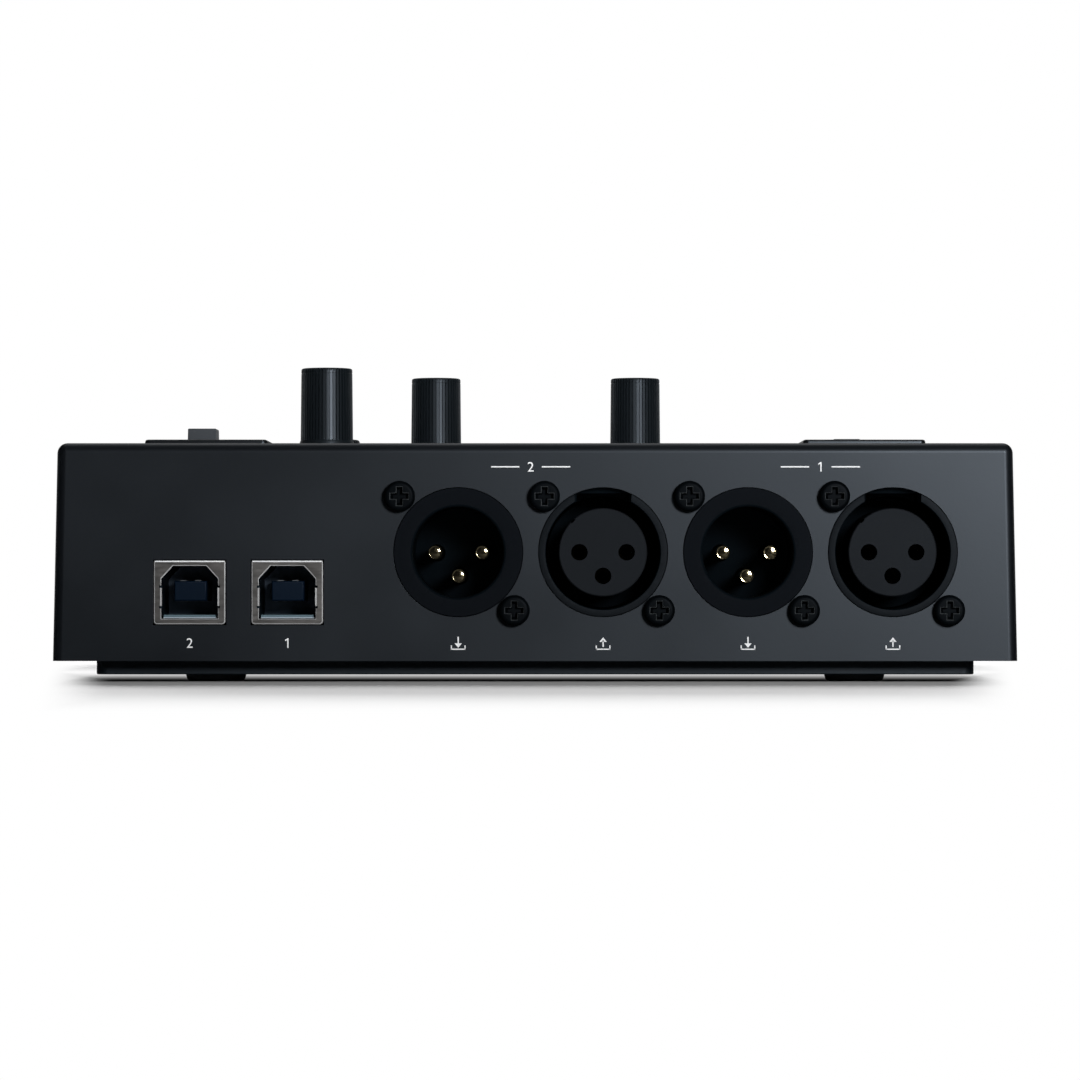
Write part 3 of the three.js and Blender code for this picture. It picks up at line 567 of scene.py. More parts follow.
def solder_mask():
    """A green circuit board with faint tracks under its mask."""
    def build(tree, place):
        tracks = put(tree, "ShaderNodeTexBrick", {
            "Vector": place, "Scale": 130, "Mortar Size": 0.08, "Mortar Smooth": 0.1,
            "Color1": (0.008, 0.055, 0.026, 1), "Color2": (0.010, 0.070, 0.034, 1),
            "Mortar": (0.022, 0.130, 0.062, 1),
        }, offset=0.37, offset_frequency=3).outputs
        gloss = spread(tree, moulded_grain(tree, place, 700)["Cloud"], 0.25, 0.4)
        return {"Base Color": tracks["Color"], "Roughness": gloss}, tracks["Fac"], 0.03, 1
    return finish("Solder mask", build)


def ribbon_wires():
    """Flat grey cable with its parallel wires and one red one."""
    def build(tree, place):
        x = axes(tree, place)["X"]
        height = ranged(tree, maths(tree, "PINGPONG", x, HALF_WIRE), 0, HALF_WIRE)
        red = maths(tree, "GREATER_THAN", x, RED_WIRE_X)
        shade = blend(tree, red, (0.30, 0.31, 0.33), (0.35, 0.03, 0.02))
        gloss = spread(tree, moulded_grain(tree, place)["Cloud"], 0.45, 0.6)
        return {"Base Color": shade, "Roughness": gloss}, height, 0.3, 1
    return finish("Ribbon wires", build)


def legend_ink(context):
    base = context.scene.controller_case.legend_ink
    return moulded("Legend ink", base, 0.5, grain=5000, bump=0.003, variation=0.03)


# Case

def lean(shape, amount):
    """Leans the sides in towards the top by a share of their place."""
    for vert in shape.verts:
        rise = (vert.co.z - RIM_Z) / (TOP_Z - RIM_Z)
        vert.co.x *= 1 - amount * max(0, rise)
    return shape


def at_case_screws(radius, low, high, steps=48):
    """A rod in the line of each case screw."""
    return [standing(tube(0, radius, low, high, steps), middle(f"case_screw_{index}"))
            for index in range(1, 5)]


def fader_slot(side, low, high):
    """The lever's slot, as wide as its blade and a gap, and as long as its travel."""
    place = middle(f"fader_lever_{side}")
    place.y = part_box(f"fader_plate_{side}")[1].y - 43.6 * mm
    return block(place, *at(1, 32.3), low, high)


class LC_OT_case_shell(Operator):
    """Moulded top shell with rounded edges, leaning sides and all its openings"""
    bl_idname = "lighting_controller.case_shell"
    bl_label = "Case shell"

    def execute(self, context):
        case = context.scene.controller_case
        outer = soften(cuboid(SHELL_LOW, SHELL_HIGH),
                       lambda a, b: upright(a, b) or level_at(TOP_Z)(a, b), case.edge_radius, 6)
        hollow = cuboid(SHELL_LOW + Vector((case.wall, case.wall, -1 * mm)),
                        SHELL_HIGH - Vector((case.wall, case.wall, case.top_wall)))
        tilt = case.side_lean / SHELL_HIGH.x
        skin = finished(cut(lean(outer, tilt), lean(hollow, tilt)))
        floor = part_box("bottom_cover")[1].z
        bosses = at_case_screws(3.5 * mm, floor, TOP_Z - case.top_wall + 0.3 * mm, 32)
        shell = cut(joined(skin, *bosses), *self.panel_openings(), self.top_openings())
        soften(shell, lambda a, b: (near(a.y, PANEL_Y) and near(b.y, PANEL_Y))
               or level_at(TOP_Z)(a, b), 0.12 * mm, 2, cuts=True)
        paint = moulded("Case paint", case.paint, 0.38, grain=2600, bump=0.004,
                        variation=0.05, dust=0.02)
        present("case_shell", finished(shell), [paint], "top_shell")
        return {"FINISHED"}

    def panel_openings(self):
        """Holes through the rear wall. Each tool holds those that stand apart."""
        inside, outside = at(-3.2, 1)
        noses = [on_panel(tube(0, 11 * mm, inside, outside, 96), middle(f"socket_housing_{name}"))
                 for name in SOCKETS]
        bores = [on_panel(tube(0, 1.7 * mm, inside, outside, 24),
                          middle(f"socket_screw_{name}_{index}"))
                 for name in SOCKETS for index in (1, 2)]
        gap = Vector(at(0.15, 0, 0.15))
        ports = []
        for name in PORTS:
            low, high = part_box(f"usb_shell_{name}")
            ports.append(cuboid(Vector((low.x, PANEL_Y + inside, low.z)) - gap,
                                Vector((high.x, PANEL_Y + outside, high.z)) + gap))
        return [together(*holes) for holes in (noses, bores, ports)]

    def top_openings(self):
        span = (TOP_Z - 3 * mm, TOP_Z + 1 * mm)
        holes = [standing(tube(0, 4 * mm, *span), middle(f"knob_{index}")) for index in (1, 2, 3)]
        holes.append(standing(tube(0, 4.75 * mm, *span), middle("round_button")))
        holes += [rounded_slab(middle(f"pad_{index}"), *at(29.6, 24.6, 2.3), *span)
                  for index in range(1, 9)]
        holes += [fader_slot(side, *span) for side in SIDES]
        return together(*holes)


class LC_OT_bottom_cover(Operator):
    """Bottom cover: a shallow pan with a flange inside the shell's rim"""
    bl_idname = "lighting_controller.bottom_cover"
    bl_label = "Bottom cover"

    def execute(self, context):
        case = context.scene.controller_case
        low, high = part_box("bottom_cover")
        centre = Vector((0, middle("top_shell").y))
        width = SHELL_HIGH.x - SHELL_LOW.x - 2 * case.pan_inset
        depth = SHELL_HIGH.y - SHELL_LOW.y - 2 * case.pan_inset
        pan = rounded_slab(centre, width, depth, case.pan_corner, low.z, high.z, 6)
        soften(pan, level_at(low.z), case.pan_edge)
        flange = cuboid((low.x, low.y, RIM_Z), high)
        pocket = rounded_slab(centre, width - 2 * case.cover_wall, depth - 2 * case.cover_wall,
                              case.pan_corner, low.z + case.cover_wall, high.z + 1 * mm)
        body = finished(cut(joined(flange, pan), pocket))
        pads = at_case_screws(4.5 * mm, low.z + 1.5 * mm, high.z, 32)
        recesses = at_case_screws(2.8 * mm, low.z - 1 * mm, low.z + 2 * mm)
        bores = at_case_screws(1.6 * mm, low.z, high.z + 1 * mm, 24)
        body = cut(joined(body, *pads), together(*recesses), together(*bores))
        soften(body, level_at(low.z), 0.25 * mm, 2, cuts=True)
        paint = moulded("Cover paint", case.cover_paint, 0.5, grain=1500, variation=0.08)
        present("cover_pan", finished(body), [paint], "bottom_cover")
        return {"FINISHED"}


class LC_OT_feet(Operator):
    """Four round rubber feet"""
    bl_idname = "lighting_controller.feet"
    bl_label = "Rubber feet"

    def execute(self, context):
        rubber = moulded("Foot rubber", (0.045, 0.050, 0.056), 0.75, grain=1400, bump=0.05,
                         variation=0.2)
        for index in range(1, 5):
            node = f"foot_{index}"
            low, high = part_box(node)
            thick = high.z - low.z
            foot = turned([(0, 0), (4.95 * mm, 0), (5.3 * mm, thick), (0, thick)])
            soften(foot, ring(4.95 * mm, 0), 0.45 * mm, 5)
            foot = finished(cut(foot, tube(*at(3.1, 3.5, -1, 0.2), 64)))
            present(f"foot_pad_{index}", standing(foot, middle(node), low.z), [rubber],
                    node)
        return {"FINISHED"}


# Screws

# Head radius and height, crown, shank radius and length, and the cross's span, arm and depth
CASE_SCREW = at(2.5, 1.6, 0.7, 1.3, 10, 3, 0.9, 0.9)
PANEL_SCREW = at(2.62, 1.9, 0.75, 1.4, 8, 3.1, 0.95, 1.1)
# Width of the lighter rim round the cross recess, which is wear and a painted highlight.
WORN_HIGHLIGHT_RIM = 0.12 * mm


def cross_outline(span, width):
    a, b = span / 2, width / 2
    return [(a, -b), (a, b), (b, b), (b, a), (-b, a), (-b, b),
            (-a, b), (-a, -b), (-b, -b), (-b, -a), (b, -a), (b, -b)]


def cross_screw(radius, height, crown, shank_radius, shank_length, span, arm, depth):
    """A screw along Z with the underside of its head at zero, and a tapering cross recess."""
    screw = turned([(0, -shank_length), (shank_radius, -shank_length), (shank_radius, 0),
                    (radius, 0), (radius, height), (0, height)])
    soften(screw, ring(radius, height), crown, 7)
    soften(screw, ring(shank_radius, -shank_length), 0.3 * mm, 2)
    wide = cross_outline(span + 4 * WORN_HIGHLIGHT_RIM, arm + 4 * WORN_HIGHLIGHT_RIM)
    tool = flared_prism(cross_outline(span, arm), wide, height - depth, height, WORN_HIGHLIGHT_RIM)
    lower = [vert for vert in tool.verts if near(vert.co.z, height - depth)]
    bmesh.ops.scale(tool, vec=(0.72, 0.72, 1), verts=lower)
    screw = cut(screw, tool)
    # The flared rim gets the lighter finish: wear and a painted highlight.
    for face in screw.faces:
        face.material_index = int(face.material_index == 2)
    return screw


def screw_finishes():
    """Blackened steel, and a lighter rim round the cross recess: driver wear and a painted
    highlight on its edges.
    """
    black = moulded("Screw black", (0.0010, 0.0017, 0.0024), 0.5, grain=3000, bump=0.004,
                    variation=0.15, specular=0.06)
    worn_edge_highlight = moulded("Worn screw edge highlight", (0.050, 0.056, 0.060), 0.4, grain=5000, bump=0.004,
                   variation=0.25)
    return [black, worn_edge_highlight]


class LC_OT_case_screws(Operator):
    """Four screws from below into the shell"""
    bl_idname = "lighting_controller.case_screws"
    bl_label = "Case screws"

    def execute(self, context):
        finishes = screw_finishes()
        for index in range(1, 5):
            node = f"case_screw_{index}"
            screw = turn(cross_screw(*CASE_SCREW), Matrix.Rotation(math.pi, 4, "X"))
            standing(screw, middle(node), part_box(node)[0].z + CASE_SCREW[1])
            present(f"cover_screw_{index}", screw, finishes, node)
        return {"FINISHED"}


class LC_OT_socket_screws(Operator):
    """Two black pan-head screws at each socket"""
    bl_idname = "lighting_controller.socket_screws"
    bl_label = "Socket screws"

    def execute(self, context):
        finishes = screw_finishes()
        for name in SOCKETS:
            for index in (1, 2):
                node = f"socket_screw_{name}_{index}"
                screw = on_panel(cross_screw(*PANEL_SCREW), middle(node))
                present(f"panel_screw_{name}_{index}", screw, finishes, node)
        return {"FINISHED"}


# Sockets, made along Z with the panel's outer face at zero and their +Y up

NOSE_FRONT = 0.2 * mm
CONTACTS = corners((4, 0), (-4, 0), (0, -4))
PIN_RADIUS = 1.2 * mm
PIN_END = corners((1.2, -0.34), (1.19, -0.2), (1.17, -0.12), (1.13, -0.085), (1.08, -0.083),
                  (1.0, -0.1), (0.92, -0.113), (0.86, -0.108), (0.75, -0.078), (0.6, -0.047),
                  (0.4, -0.021), (0.2, -0.005), (0, 0))


def at_contacts(*size):
    """A tube or rod of one size in the line of each contact."""
    return [shift(tube(*size), (x, y, 0)) for x, y in CONTACTS]


def socket_body(nose_radius, name):
    nose = tube(0, nose_radius, -4.7 * mm, NOSE_FRONT, 128)
    soften(nose, ring(nose_radius, NOSE_FRONT), 0.14 * mm, 2)
    flange = cuboid(at(-12, -12.5, -4.7), at(12, 12.5, -2.2))
    body = cuboid(at(-11.3, -12.5, -22), at(11.3, 11.3, -2.5))
    centre = middle(f"socket_housing_{name}")
    bores = []
    for index in (1, 2):
        place = middle(f"socket_screw_{name}_{index}")
        bores.append(shift(tube(*at(0, 1.7, -8.3, 1), 24),
                           (centre.x - place.x, place.z - centre.z, 0)))
    return finished(cut(joined(body, flange, nose), together(*bores)))


def flared_bore(radius, depth, lip):
    """A cutting tool for a round well whose mouth curves outwards."""
    wide, front = radius + 3 * lip, NOSE_FRONT + 1 * mm
    tool = turned([(0, -depth), (radius, -depth), (radius, NOSE_FRONT), (wide, NOSE_FRONT),
                   (wide, front), (0, front)], 128)
    return soften(tool, ring(radius, NOSE_FRONT), lip, 6)


# Near-black for the inner faces of cups, bores, latch gaps and contact holes: painted shade in the
# recesses.
def painted_well_shade():
    return moulded("Socket well painted shade", (0.0017, 0.0034, 0.0049), 0.7, bump=0.006, variation=0.1,
                   specular=0.03)


class LC_OT_male_sockets(Operator):
    """Male sockets with a deep cup and three gold pins"""
    bl_idname = "lighting_controller.male_sockets"
    bl_label = "Male sockets"

    def execute(self, context):
        sizes = context.scene.controller_sockets
        plastic = moulded("Male socket plastic", sizes.male_plastic, 0.6, grain=2200, bump=0.006,
                          variation=0.08, specular=0.05)
        well = painted_well_shade()
        gold = metal("Gold plating", sizes.gold, 0.1, across=2500, along=2500, bump=0.0004,
                     variation=0.06)
        for name in ("in_2", "in_1"):
            bores = at_contacts(*at(0, 1.5, -23, -15.5), 24)
            housing = finished(cut(socket_body(sizes.nose_radius, name), together(*bores)))
            cup = flared_bore(sizes.cup_radius, sizes.cup_depth, sizes.mouth_radius)
            node = f"socket_housing_{name}"
            present(f"male_socket_{name}", on_panel(cut(housing, cup), middle(node)),
                    [plastic, well], node)
            for index in (1, 2, 3):
                node = f"socket_pin_{name}_{index}"
                low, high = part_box(node)
                back = low.y - high.y
                pin = turned([(0, back), (PIN_RADIUS, back), *PIN_END])
                present(f"gold_pin_{name}_{index}", on_panel(pin, middle(node), high.y), [gold],
                        node)
        return {"FINISHED"}


class LC_OT_female_sockets(Operator):
    """Female sockets: a ring with a latch gap round a block with three contact holes"""
    bl_idname = "lighting_controller.female_sockets"
    bl_label = "Female sockets"

    def execute(self, context):
        sizes = context.scene.controller_sockets
        plastic = moulded("Female socket plastic", sizes.female_plastic, 0.6, grain=2200,
                          bump=0.005, variation=0.06, specular=0.13)
        inner = moulded("Insert plastic", sizes.insert_plastic, 0.6, grain=1600, bump=0.006,
                        variation=0.06, specular=0.15)
        well = painted_well_shade()
        # Brass darkened nearly to black: painted shade on the contact sleeves deep in the holes.
        shaded_brass = metal("Contact brass painted shade", (0.05, 0.04, 0.02), 0.45, across=2500, along=2500,
                      bump=0.001)
        for name in ("out_2", "out_1"):
            bore = flared_bore(sizes.sleeve_radius, 23 * mm, 0.12 * mm)
            gap = prism(corners((-4.75, 7), (4.65, 7), (4.85, 10), (3.3, 11.6), (-3.3, 11.6),
                                (-4.85, 10)), *at(-2.1, 1))
            deeper = prism(corners((-4.6, 7), (4.6, 7), (4.4, 10), (-4.4, 10)), *at(-9, -2))
            housing = cut(socket_body(sizes.nose_radius, name), bore, gap, deeper)
            place = middle(f"socket_housing_{name}")
            present(f"female_socket_{name}", on_panel(housing, place), [plastic, well],
                    f"socket_housing_{name}")
            present(f"contact_block_{name}", on_panel(self.contact_block(sizes), place),
                    [inner, well, shaded_brass], f"socket_insert_{name}")
        return {"FINISHED"}

    def contact_block(self, sizes):
        front, shoulder, back = at(-0.5, -16, -22)
        radius, wide = sizes.insert_radius, sizes.sleeve_radius - 0.3 * mm
        contacts = turned([(0, back), (wide, back), (wide, shoulder), (radius, shoulder),
                           (radius, front), (0, front)], 128)
        soften(contacts, ring(radius, front), 0.16 * mm, 1)
        holes = at_contacts(0, sizes.hole_radius, front - 12 * mm, 1 * mm, 48)
        key = cuboid((radius - 0.3 * mm, *at(-0.42, -15)), (radius + 1 * mm, *at(0.42, 1)))
        turn(key, Matrix.Rotation(math.radians(134), 4, "Z"))
        contacts = cut(contacts, together(*holes), key)
        # Faces behind the front, in the holes and round the block, get index 1, the painted shade.
        for face in contacts.faces:
            face.material_index = int(face.calc_center_median().z < front - 0.2 * mm)
        sleeves = at_contacts(*at(0.85, 1.38, -12.4, -9), 32)
        return together(contacts, *(finished(sleeve, 2) for sleeve in sleeves))


# Data ports, made along Z with the panel's outer face at zero and their +Y up

TONGUE_Y = 0.25 * mm
PORT_FRONT = 0.3 * mm
PORT_RIM = 0.12 * mm


class LC_OT_data_ports(Operator):
    """Square metal ports, each with a tongue and its contacts"""
    bl_idname = "lighting_controller.data_ports"
    bl_label = "Data ports"

    def execute(self, context):
        sizes = context.scene.controller_ports
        sheet = {"across": 2600, "along": 500, "bump": 0.0006}
        nickel = metal("Port nickel", sizes.nickel, 0.36, variation=0.08, **sheet)
        # A lighter metal on the front edge's rounding, the mouth's rim and the side springs: a
        # painted highlight.
        edge_highlight = metal("Rolled edge painted highlight", (0.42, 0.425, 0.432), 0.5, variation=0.08, metallic=0.2,
                         **sheet)
        # Near-white metal for a thin strip along the top of the front: a painted highlight on the
        # top edge.
        top_highlight = metal("Painted top highlight", (0.93, 0.95, 1.0), 0.45, variation=0.05, metallic=0.2,
                     **sheet)
        # Near-black metal for the walls inside the opening and its notches: painted shade in the
        # recess.
        inside = metal("Port inside painted shade", (0.018, 0.026, 0.036), 0.5, across=3500, along=300,
                       bump=0.003)
        plastic = moulded("Tongue plastic", sizes.tongue, 0.45, grain=2000, bump=0.01,
                          variation=0.15, specular=0.1)
        ledge = moulded("Port ledge", (0.105, 0.165, 0.195), 0.45, bump=0.01)
        # A paler copy of the ledge's colour for its front edge: a painted highlight.
        ledge_highlight = moulded("Ledge edge painted highlight", (0.40, 0.47, 0.53), 0.45, bump=0.01)
        back = moulded("Port back", (0.040, 0.058, 0.085), 0.6, grain=2000, bump=0.01)
        spring = metal("Contact spring", (0.14, 0.15, 0.16), 0.45, across=2500, along=2500,
                       bump=0.001)
        for name in PORTS:
            node = f"usb_shell_{name}"
            low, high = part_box(node)
            half = ((high - low) / 2).xz
            present(f"port_shell_{name}", on_panel(self.shell(sizes, half), middle(node)),
                    [nickel, inside, edge_highlight, top_highlight], node)
            present(f"port_tongue_{name}", on_panel(self.tongue(sizes, half), middle(node)),
                    [plastic, spring, ledge, ledge_highlight, back], f"usb_tongue_{name}")
        return {"FINISHED"}

    def mouth(self, sizes, half, spare=0):
        """Outline of the opening, with its upper corners cut off."""
        x = sizes.mouth_width / 2 - spare
        floor = sizes.mouth_floor - half.y + spare
        roof = half.y - sizes.mouth_roof - spare
        return [(-x, floor), (x, floor), (x, roof - 2.2 * mm), (x - 2 * mm, roof),
                (2 * mm - x, roof), (-x, roof - 2.2 * mm)]

    def shell(self, sizes, half):
        x, y = half
        shell = cuboid((-x, -y, -16 * mm), (x, y, PORT_FRONT))
        soften(shell, lambda a, b: upright(a, b) and a.y < 0, sizes.corner_radius, 4)
        soften(shell, lambda a, b: upright(a, b) and near(a.y, y), 0.25 * mm)
        # The front edge's rounding gets index 2, the painted highlight, as does the mouth's flared
        # rim.
        soften(shell, level_at(PORT_FRONT), sizes.edge_radius, 3, 2)
        wide = self.mouth(sizes, half, -2 * PORT_RIM)
        shell = cut(shell, flared_prism(self.mouth(sizes, half), wide, -17 * mm, PORT_FRONT,
                                        PORT_RIM))
        proud = PORT_FRONT + 0.02 * mm
        upper, lower = (y - 2 * y * drop for drop in (0.41, 0.73))
        notches = []
        springs = []
        for side in (-1, 1):
            edge = side * sizes.mouth_width / 2
            notches += [block(Vector((edge, height)), *at(0.35, 0.2, -1.6, 1))
                        for height in (upper, lower)]
            # The side springs wear the painted highlight of index 2.
            spring = cuboid((edge - 0.13 * mm, lower + 0.2 * mm, PORT_FRONT - 0.9 * mm),
                            (edge + 0.13 * mm, upper - 0.2 * mm, proud))
            springs.append(finished(shift(spring, (side * 0.06 * mm, 0, 0)), 2))
        # This strip, proud of the front along the top, carries the painted top highlight.
        lip = cuboid((0.14 * mm - x, y - 0.34 * mm, PORT_FRONT - 0.3 * mm),
                     (x - 0.14 * mm, y - 0.01 * mm, proud))
        soften(lip, level_at(proud), 0.12 * mm)
        return together(cut(shell, together(*notches)), finished(lip, 3), *springs)

    def tongue(self, sizes, half):
        base = finished(prism(self.mouth(sizes, half, 0.12 * mm), *at(-16, -13)), 4)
        blade = block(Vector((0, TONGUE_Y)), *at(2.75, 1.7, -13.2, -1.5))
        soften(blade, level_at(-1.5 * mm), 0.3 * mm)
        floor = sizes.mouth_floor - half.y
        reach = sizes.mouth_width / 2 - 0.3 * mm
        ledge = cuboid((-reach, floor + 0.12 * mm, -13 * mm), (reach, floor + 0.68 * mm, -0.9 * mm))
        soften(ledge, level_at(-0.9 * mm), 0.12 * mm, 2)
        # Thin strip on the ledge's front edge, given the painted highlight of index 3.
        edge = cuboid((-reach, floor + 0.08 * mm, -2 * mm), (reach, floor + 0.27 * mm, -0.8 * mm))
        contacts = []
        for x in at(-1.25, 1.25):
            for y in at(-1.6, 1.7):
                contact = block(Vector((x, TONGUE_Y + y)), *at(0.5, 0.14, -13, -2.1))
                contacts.append(finished(contact, 1))
        return together(base, finished(blade), finished(ledge, 2), finished(edge, 3), *contacts)


# Controls

# Radius, height above the base or depth below the top, and whether the grooves are cut there
KNOB_COLLAR = ((4.95, 0.12, 0), (4.95, 1.85, 0), (4.80, 2.1, 0), (4.79, 2.2, 1))
KNOB_TOP = ((4.67, 1.0, 1), (4.60, 0.96, 1), (4.60, 0.88, 1), (4.67, 0.84, 1), (4.66, 0.3, 1),
            (4.56, 0.12, 0), (4.4, 0.03, 0), (4.2, 0, 0), (3.3, 0, 0), (3.1, 0.2, 0),
            (0.6, 0.25, 0))
KNOB_BORE = ((2.8, 0, 0), (2.8, 10.4, 0))
RIB_POINTS = 10
GROOVE_POINTS = (4, 5, 6)


class LC_OT_knobs(Operator):
    """Three ribbed knobs"""
    bl_idname = "lighting_controller.knobs"
    bl_label = "Knobs"

    def execute(self, context):
        sizes = context.scene.controller_controls
        plastic = moulded("Knob plastic", sizes.knob_plastic, 0.42, grain=2400, bump=0.01,
                          variation=0.08)
        for index, body in enumerate(KNOB_BODIES, 1):
            node = f"knob_{index}"
            low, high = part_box(node)
            knob = standing(self.knob(sizes, (high.z - low.z) / mm), middle(node), low.z)
            present(f"ribbed_knob_{index}", knob, [plastic], node, body)
        return {"FINISHED"}

    def knob(self, sizes, height):
        """Rings drawn up from the collar, with some points of each rib pulled in for a groove."""
        shape = bmesh.new()
        bmesh.ops.create_circle(shape, segments=RIB_POINTS * sizes.rib_count, radius=4.85 * mm,
                                cap_ends=False)
        outside = [*KNOB_COLLAR, *((radius, height - z, groove) for radius, z, groove in KNOB_TOP)]
        self.draw_up(shape, list(shape.edges), outside, sizes)
        under = [edge for edge in shape.edges if edge.is_boundary]
        self.draw_up(shape, under, KNOB_BORE, sizes)
        bmesh.ops.recalc_face_normals(shape, faces=shape.faces)
        return shape

    def draw_up(self, shape, edges, rings, sizes):
        """Draws edges through rings of radius, height and groove, and closes the last one."""
        step = 2 * math.pi / (RIB_POINTS * sizes.rib_count)
        for radius, height, grooved in rings:
            made = bmesh.ops.extrude_edge_only(shape, edges=edges)
            edges = [part for part in made["geom"] if isinstance(part, bmesh.types.BMEdge)]
            for vert in drawn_verts(made):
                point = round(math.atan2(vert.co.y, vert.co.x) / step) % RIB_POINTS
                depth = sizes.rib_depth if grooved and point in GROOVE_POINTS else 0
                scale = (radius * mm - depth) / math.hypot(vert.co.x, vert.co.y)
                vert.co = (vert.co.x * scale, vert.co.y * scale, height * mm)
        bmesh.ops.contextual_create(shape, geom=edges)


class LC_OT_round_button(Operator):
    """One round push button with a crowned top"""
    bl_idname = "lighting_controller.round_button"
    bl_label = "Round button"

    def execute(self, context):
        low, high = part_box("round_button")
        plastic = moulded("Button plastic", (0.005, 0.0056, 0.0068), 0.45, grain=2400, bump=0.01)
        shoulder = TOP_Z - 2.3 * mm
        plunger, cap, flange = at(3, 4.45, 5.65)
        button = turned([(0, low.z), (plunger, low.z), (plunger, KEY_FLANGE_Z),
                         (flange, KEY_FLANGE_Z), (flange, shoulder), (cap, shoulder),
                         (cap, high.z), (0, high.z)], 72)
        soften(button, ring(cap, high.z), 0.6 * mm, 6)
        standing(button, middle("round_button"))
        present("push_button", button, [plastic], "round_button", "button")
        return {"FINISHED"}


class LC_OT_pads(Operator):
    """Eight rubber pads with a slightly sunk face"""
    bl_idname = "lighting_controller.pads"
    bl_label = "Pads"

    def execute(self, context):
        sizes = context.scene.controller_controls
        rubber = moulded("Pad rubber", sizes.pad_rubber, 0.62, grain=1500, bump=0.04,
                         variation=0.08, dust=0.05)
        for index in range(1, 9):
            present(f"rubber_pad_{index}", self.pad(f"pad_{index}"), [rubber],
                    f"pad_{index}", f"pad_key_{index}")
        return {"FINISHED"}

    def pad(self, node):
        (low, high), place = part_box(node), middle(node)
        cap = rounded_slab(place, *at(29, 24, 2), KEY_FLANGE_Z + 0.3 * mm, high.z, 6)
        soften(cap, level_at(high.z), 0.6 * mm, 4)
        top = [face for face in cap.faces if near(face.calc_center_median().z, high.z)]
        for thickness, depth in corners((0.6, 0), (0.35, -0.12), (0.2, 0)):
            bmesh.ops.inset_region(cap, faces=top, thickness=thickness, depth=depth,
                                   use_even_offset=True)
        base = rounded_slab(place, *at(31.4, 26.4, 2), KEY_FLANGE_Z, KEY_FLANGE_Z + 1.2 * mm)
        plunger = standing(tube(0, 3 * mm, low.z, KEY_FLANGE_Z + 0.5 * mm, 32), place)
        return finished(joined(cap, base, plunger))


class LC_OT_fader_plates(Operator):
    """Raised plates round the fader slots, with plain tick marks"""
    bl_idname = "lighting_controller.fader_plates"
    bl_label = "Fader plates"

    def execute(self, context):
        sizes = context.scene.controller_controls
        ink = legend_ink(context)
        plastic = moulded("Fader plate plastic", sizes.fader_plate, 0.34, grain=2600, bump=0.006,
                          dust=0.03)
        for side in SIDES:
            node = f"fader_plate_{side}"
            low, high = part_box(node)
            plate = rounded_slab(middle(node), *(high - low).xy, 1 * mm, low.z, high.z)
            soften(plate, level_at(high.z), 0.4 * mm, 2)
            plate = cut(plate, fader_slot(side, low.z - 1 * mm, high.z + 1 * mm))
            soften(plate, level_at(high.z), 0.15 * mm, 2, cuts=True)
            present(f"slot_plate_{side}", finished(plate), [plastic], node)
            present(f"fader_scale_{side}", self.ticks(side, high), [ink])
        return {"FINISHED"}

    def ticks(self, side, high):
        """Eleven marks on both sides of the slot, the first, middle and last ones longer."""
        lever = middle(f"fader_lever_{side}")
        marks = []
        for index in range(11):
            reach = (2.4 if index % 5 == 0 else 1.5) * mm
            for way in (-1, 1):
                place = Vector((lever.x + way * (3.4 * mm + reach / 2),
                                high.y - 73.6 * mm + index * 6 * mm))
                marks.append(block(place, reach / 2, 0.12 * mm, high.z - 0.05 * mm,
                                   high.z + 0.015 * mm))
        return together(*marks)


CAP_HALF = Vector(at(2.5, 4, 1.1))


class LC_OT_fader_caps(Operator):
    """Grey fader caps with sloping ends and a centre line"""
    bl_idname = "lighting_controller.fader_caps"
    bl_label = "Fader caps"

    def execute(self, context):
        sizes = context.scene.controller_controls
        ink = legend_ink(context)
        plastic = moulded("Fader cap plastic", sizes.fader_cap, 0.45, grain=2200, bump=0.01,
                          dust=0.03)
        for side in SIDES:
            node = f"fader_cap_{side}"
            low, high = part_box(node)
            centre = middle(node)
            inward = centre - Vector((math.copysign(0.45 * mm, centre.x), 0, 0))
            cap = cuboid(inward - CAP_HALF, inward + CAP_HALF)
            top = [vert for vert in cap.verts if near(vert.co.z, high.z)]
            bmesh.ops.scale(cap, vec=(1, 0.85, 1), verts=top, space=Matrix.Translation(-centre))
            soften(cap, lambda a, b: not level_at(low.z)(a, b), 0.18 * mm)
            bore = block(centre, *at(1, 2.3), low.z - 1 * mm, high.z - 0.7 * mm)
            half = (high.x - low.x) / 2 + 1 * mm
            groove = block(centre, half, 0.3 * mm, high.z - 0.25 * mm, high.z + 1 * mm)
            cap = finished(cut(cap, bore, groove))
            line = block(inward, *at(2.1, 0.28), high.z - 0.3 * mm, high.z - 0.2 * mm)
            present(f"slide_cap_{side}", together(cap, finished(line, 1)), [plastic, ink],
                    node, f"{side}_fader")
        return {"FINISHED"}


# Print on the rear panel, as thin shapes with their middle at the origin

NUMERAL_HEIGHT = 1.62 * mm
HALF_PRINT = 0.012 * mm
SIGN_ROW, LINE_ROW = at(6.75, 36.55)


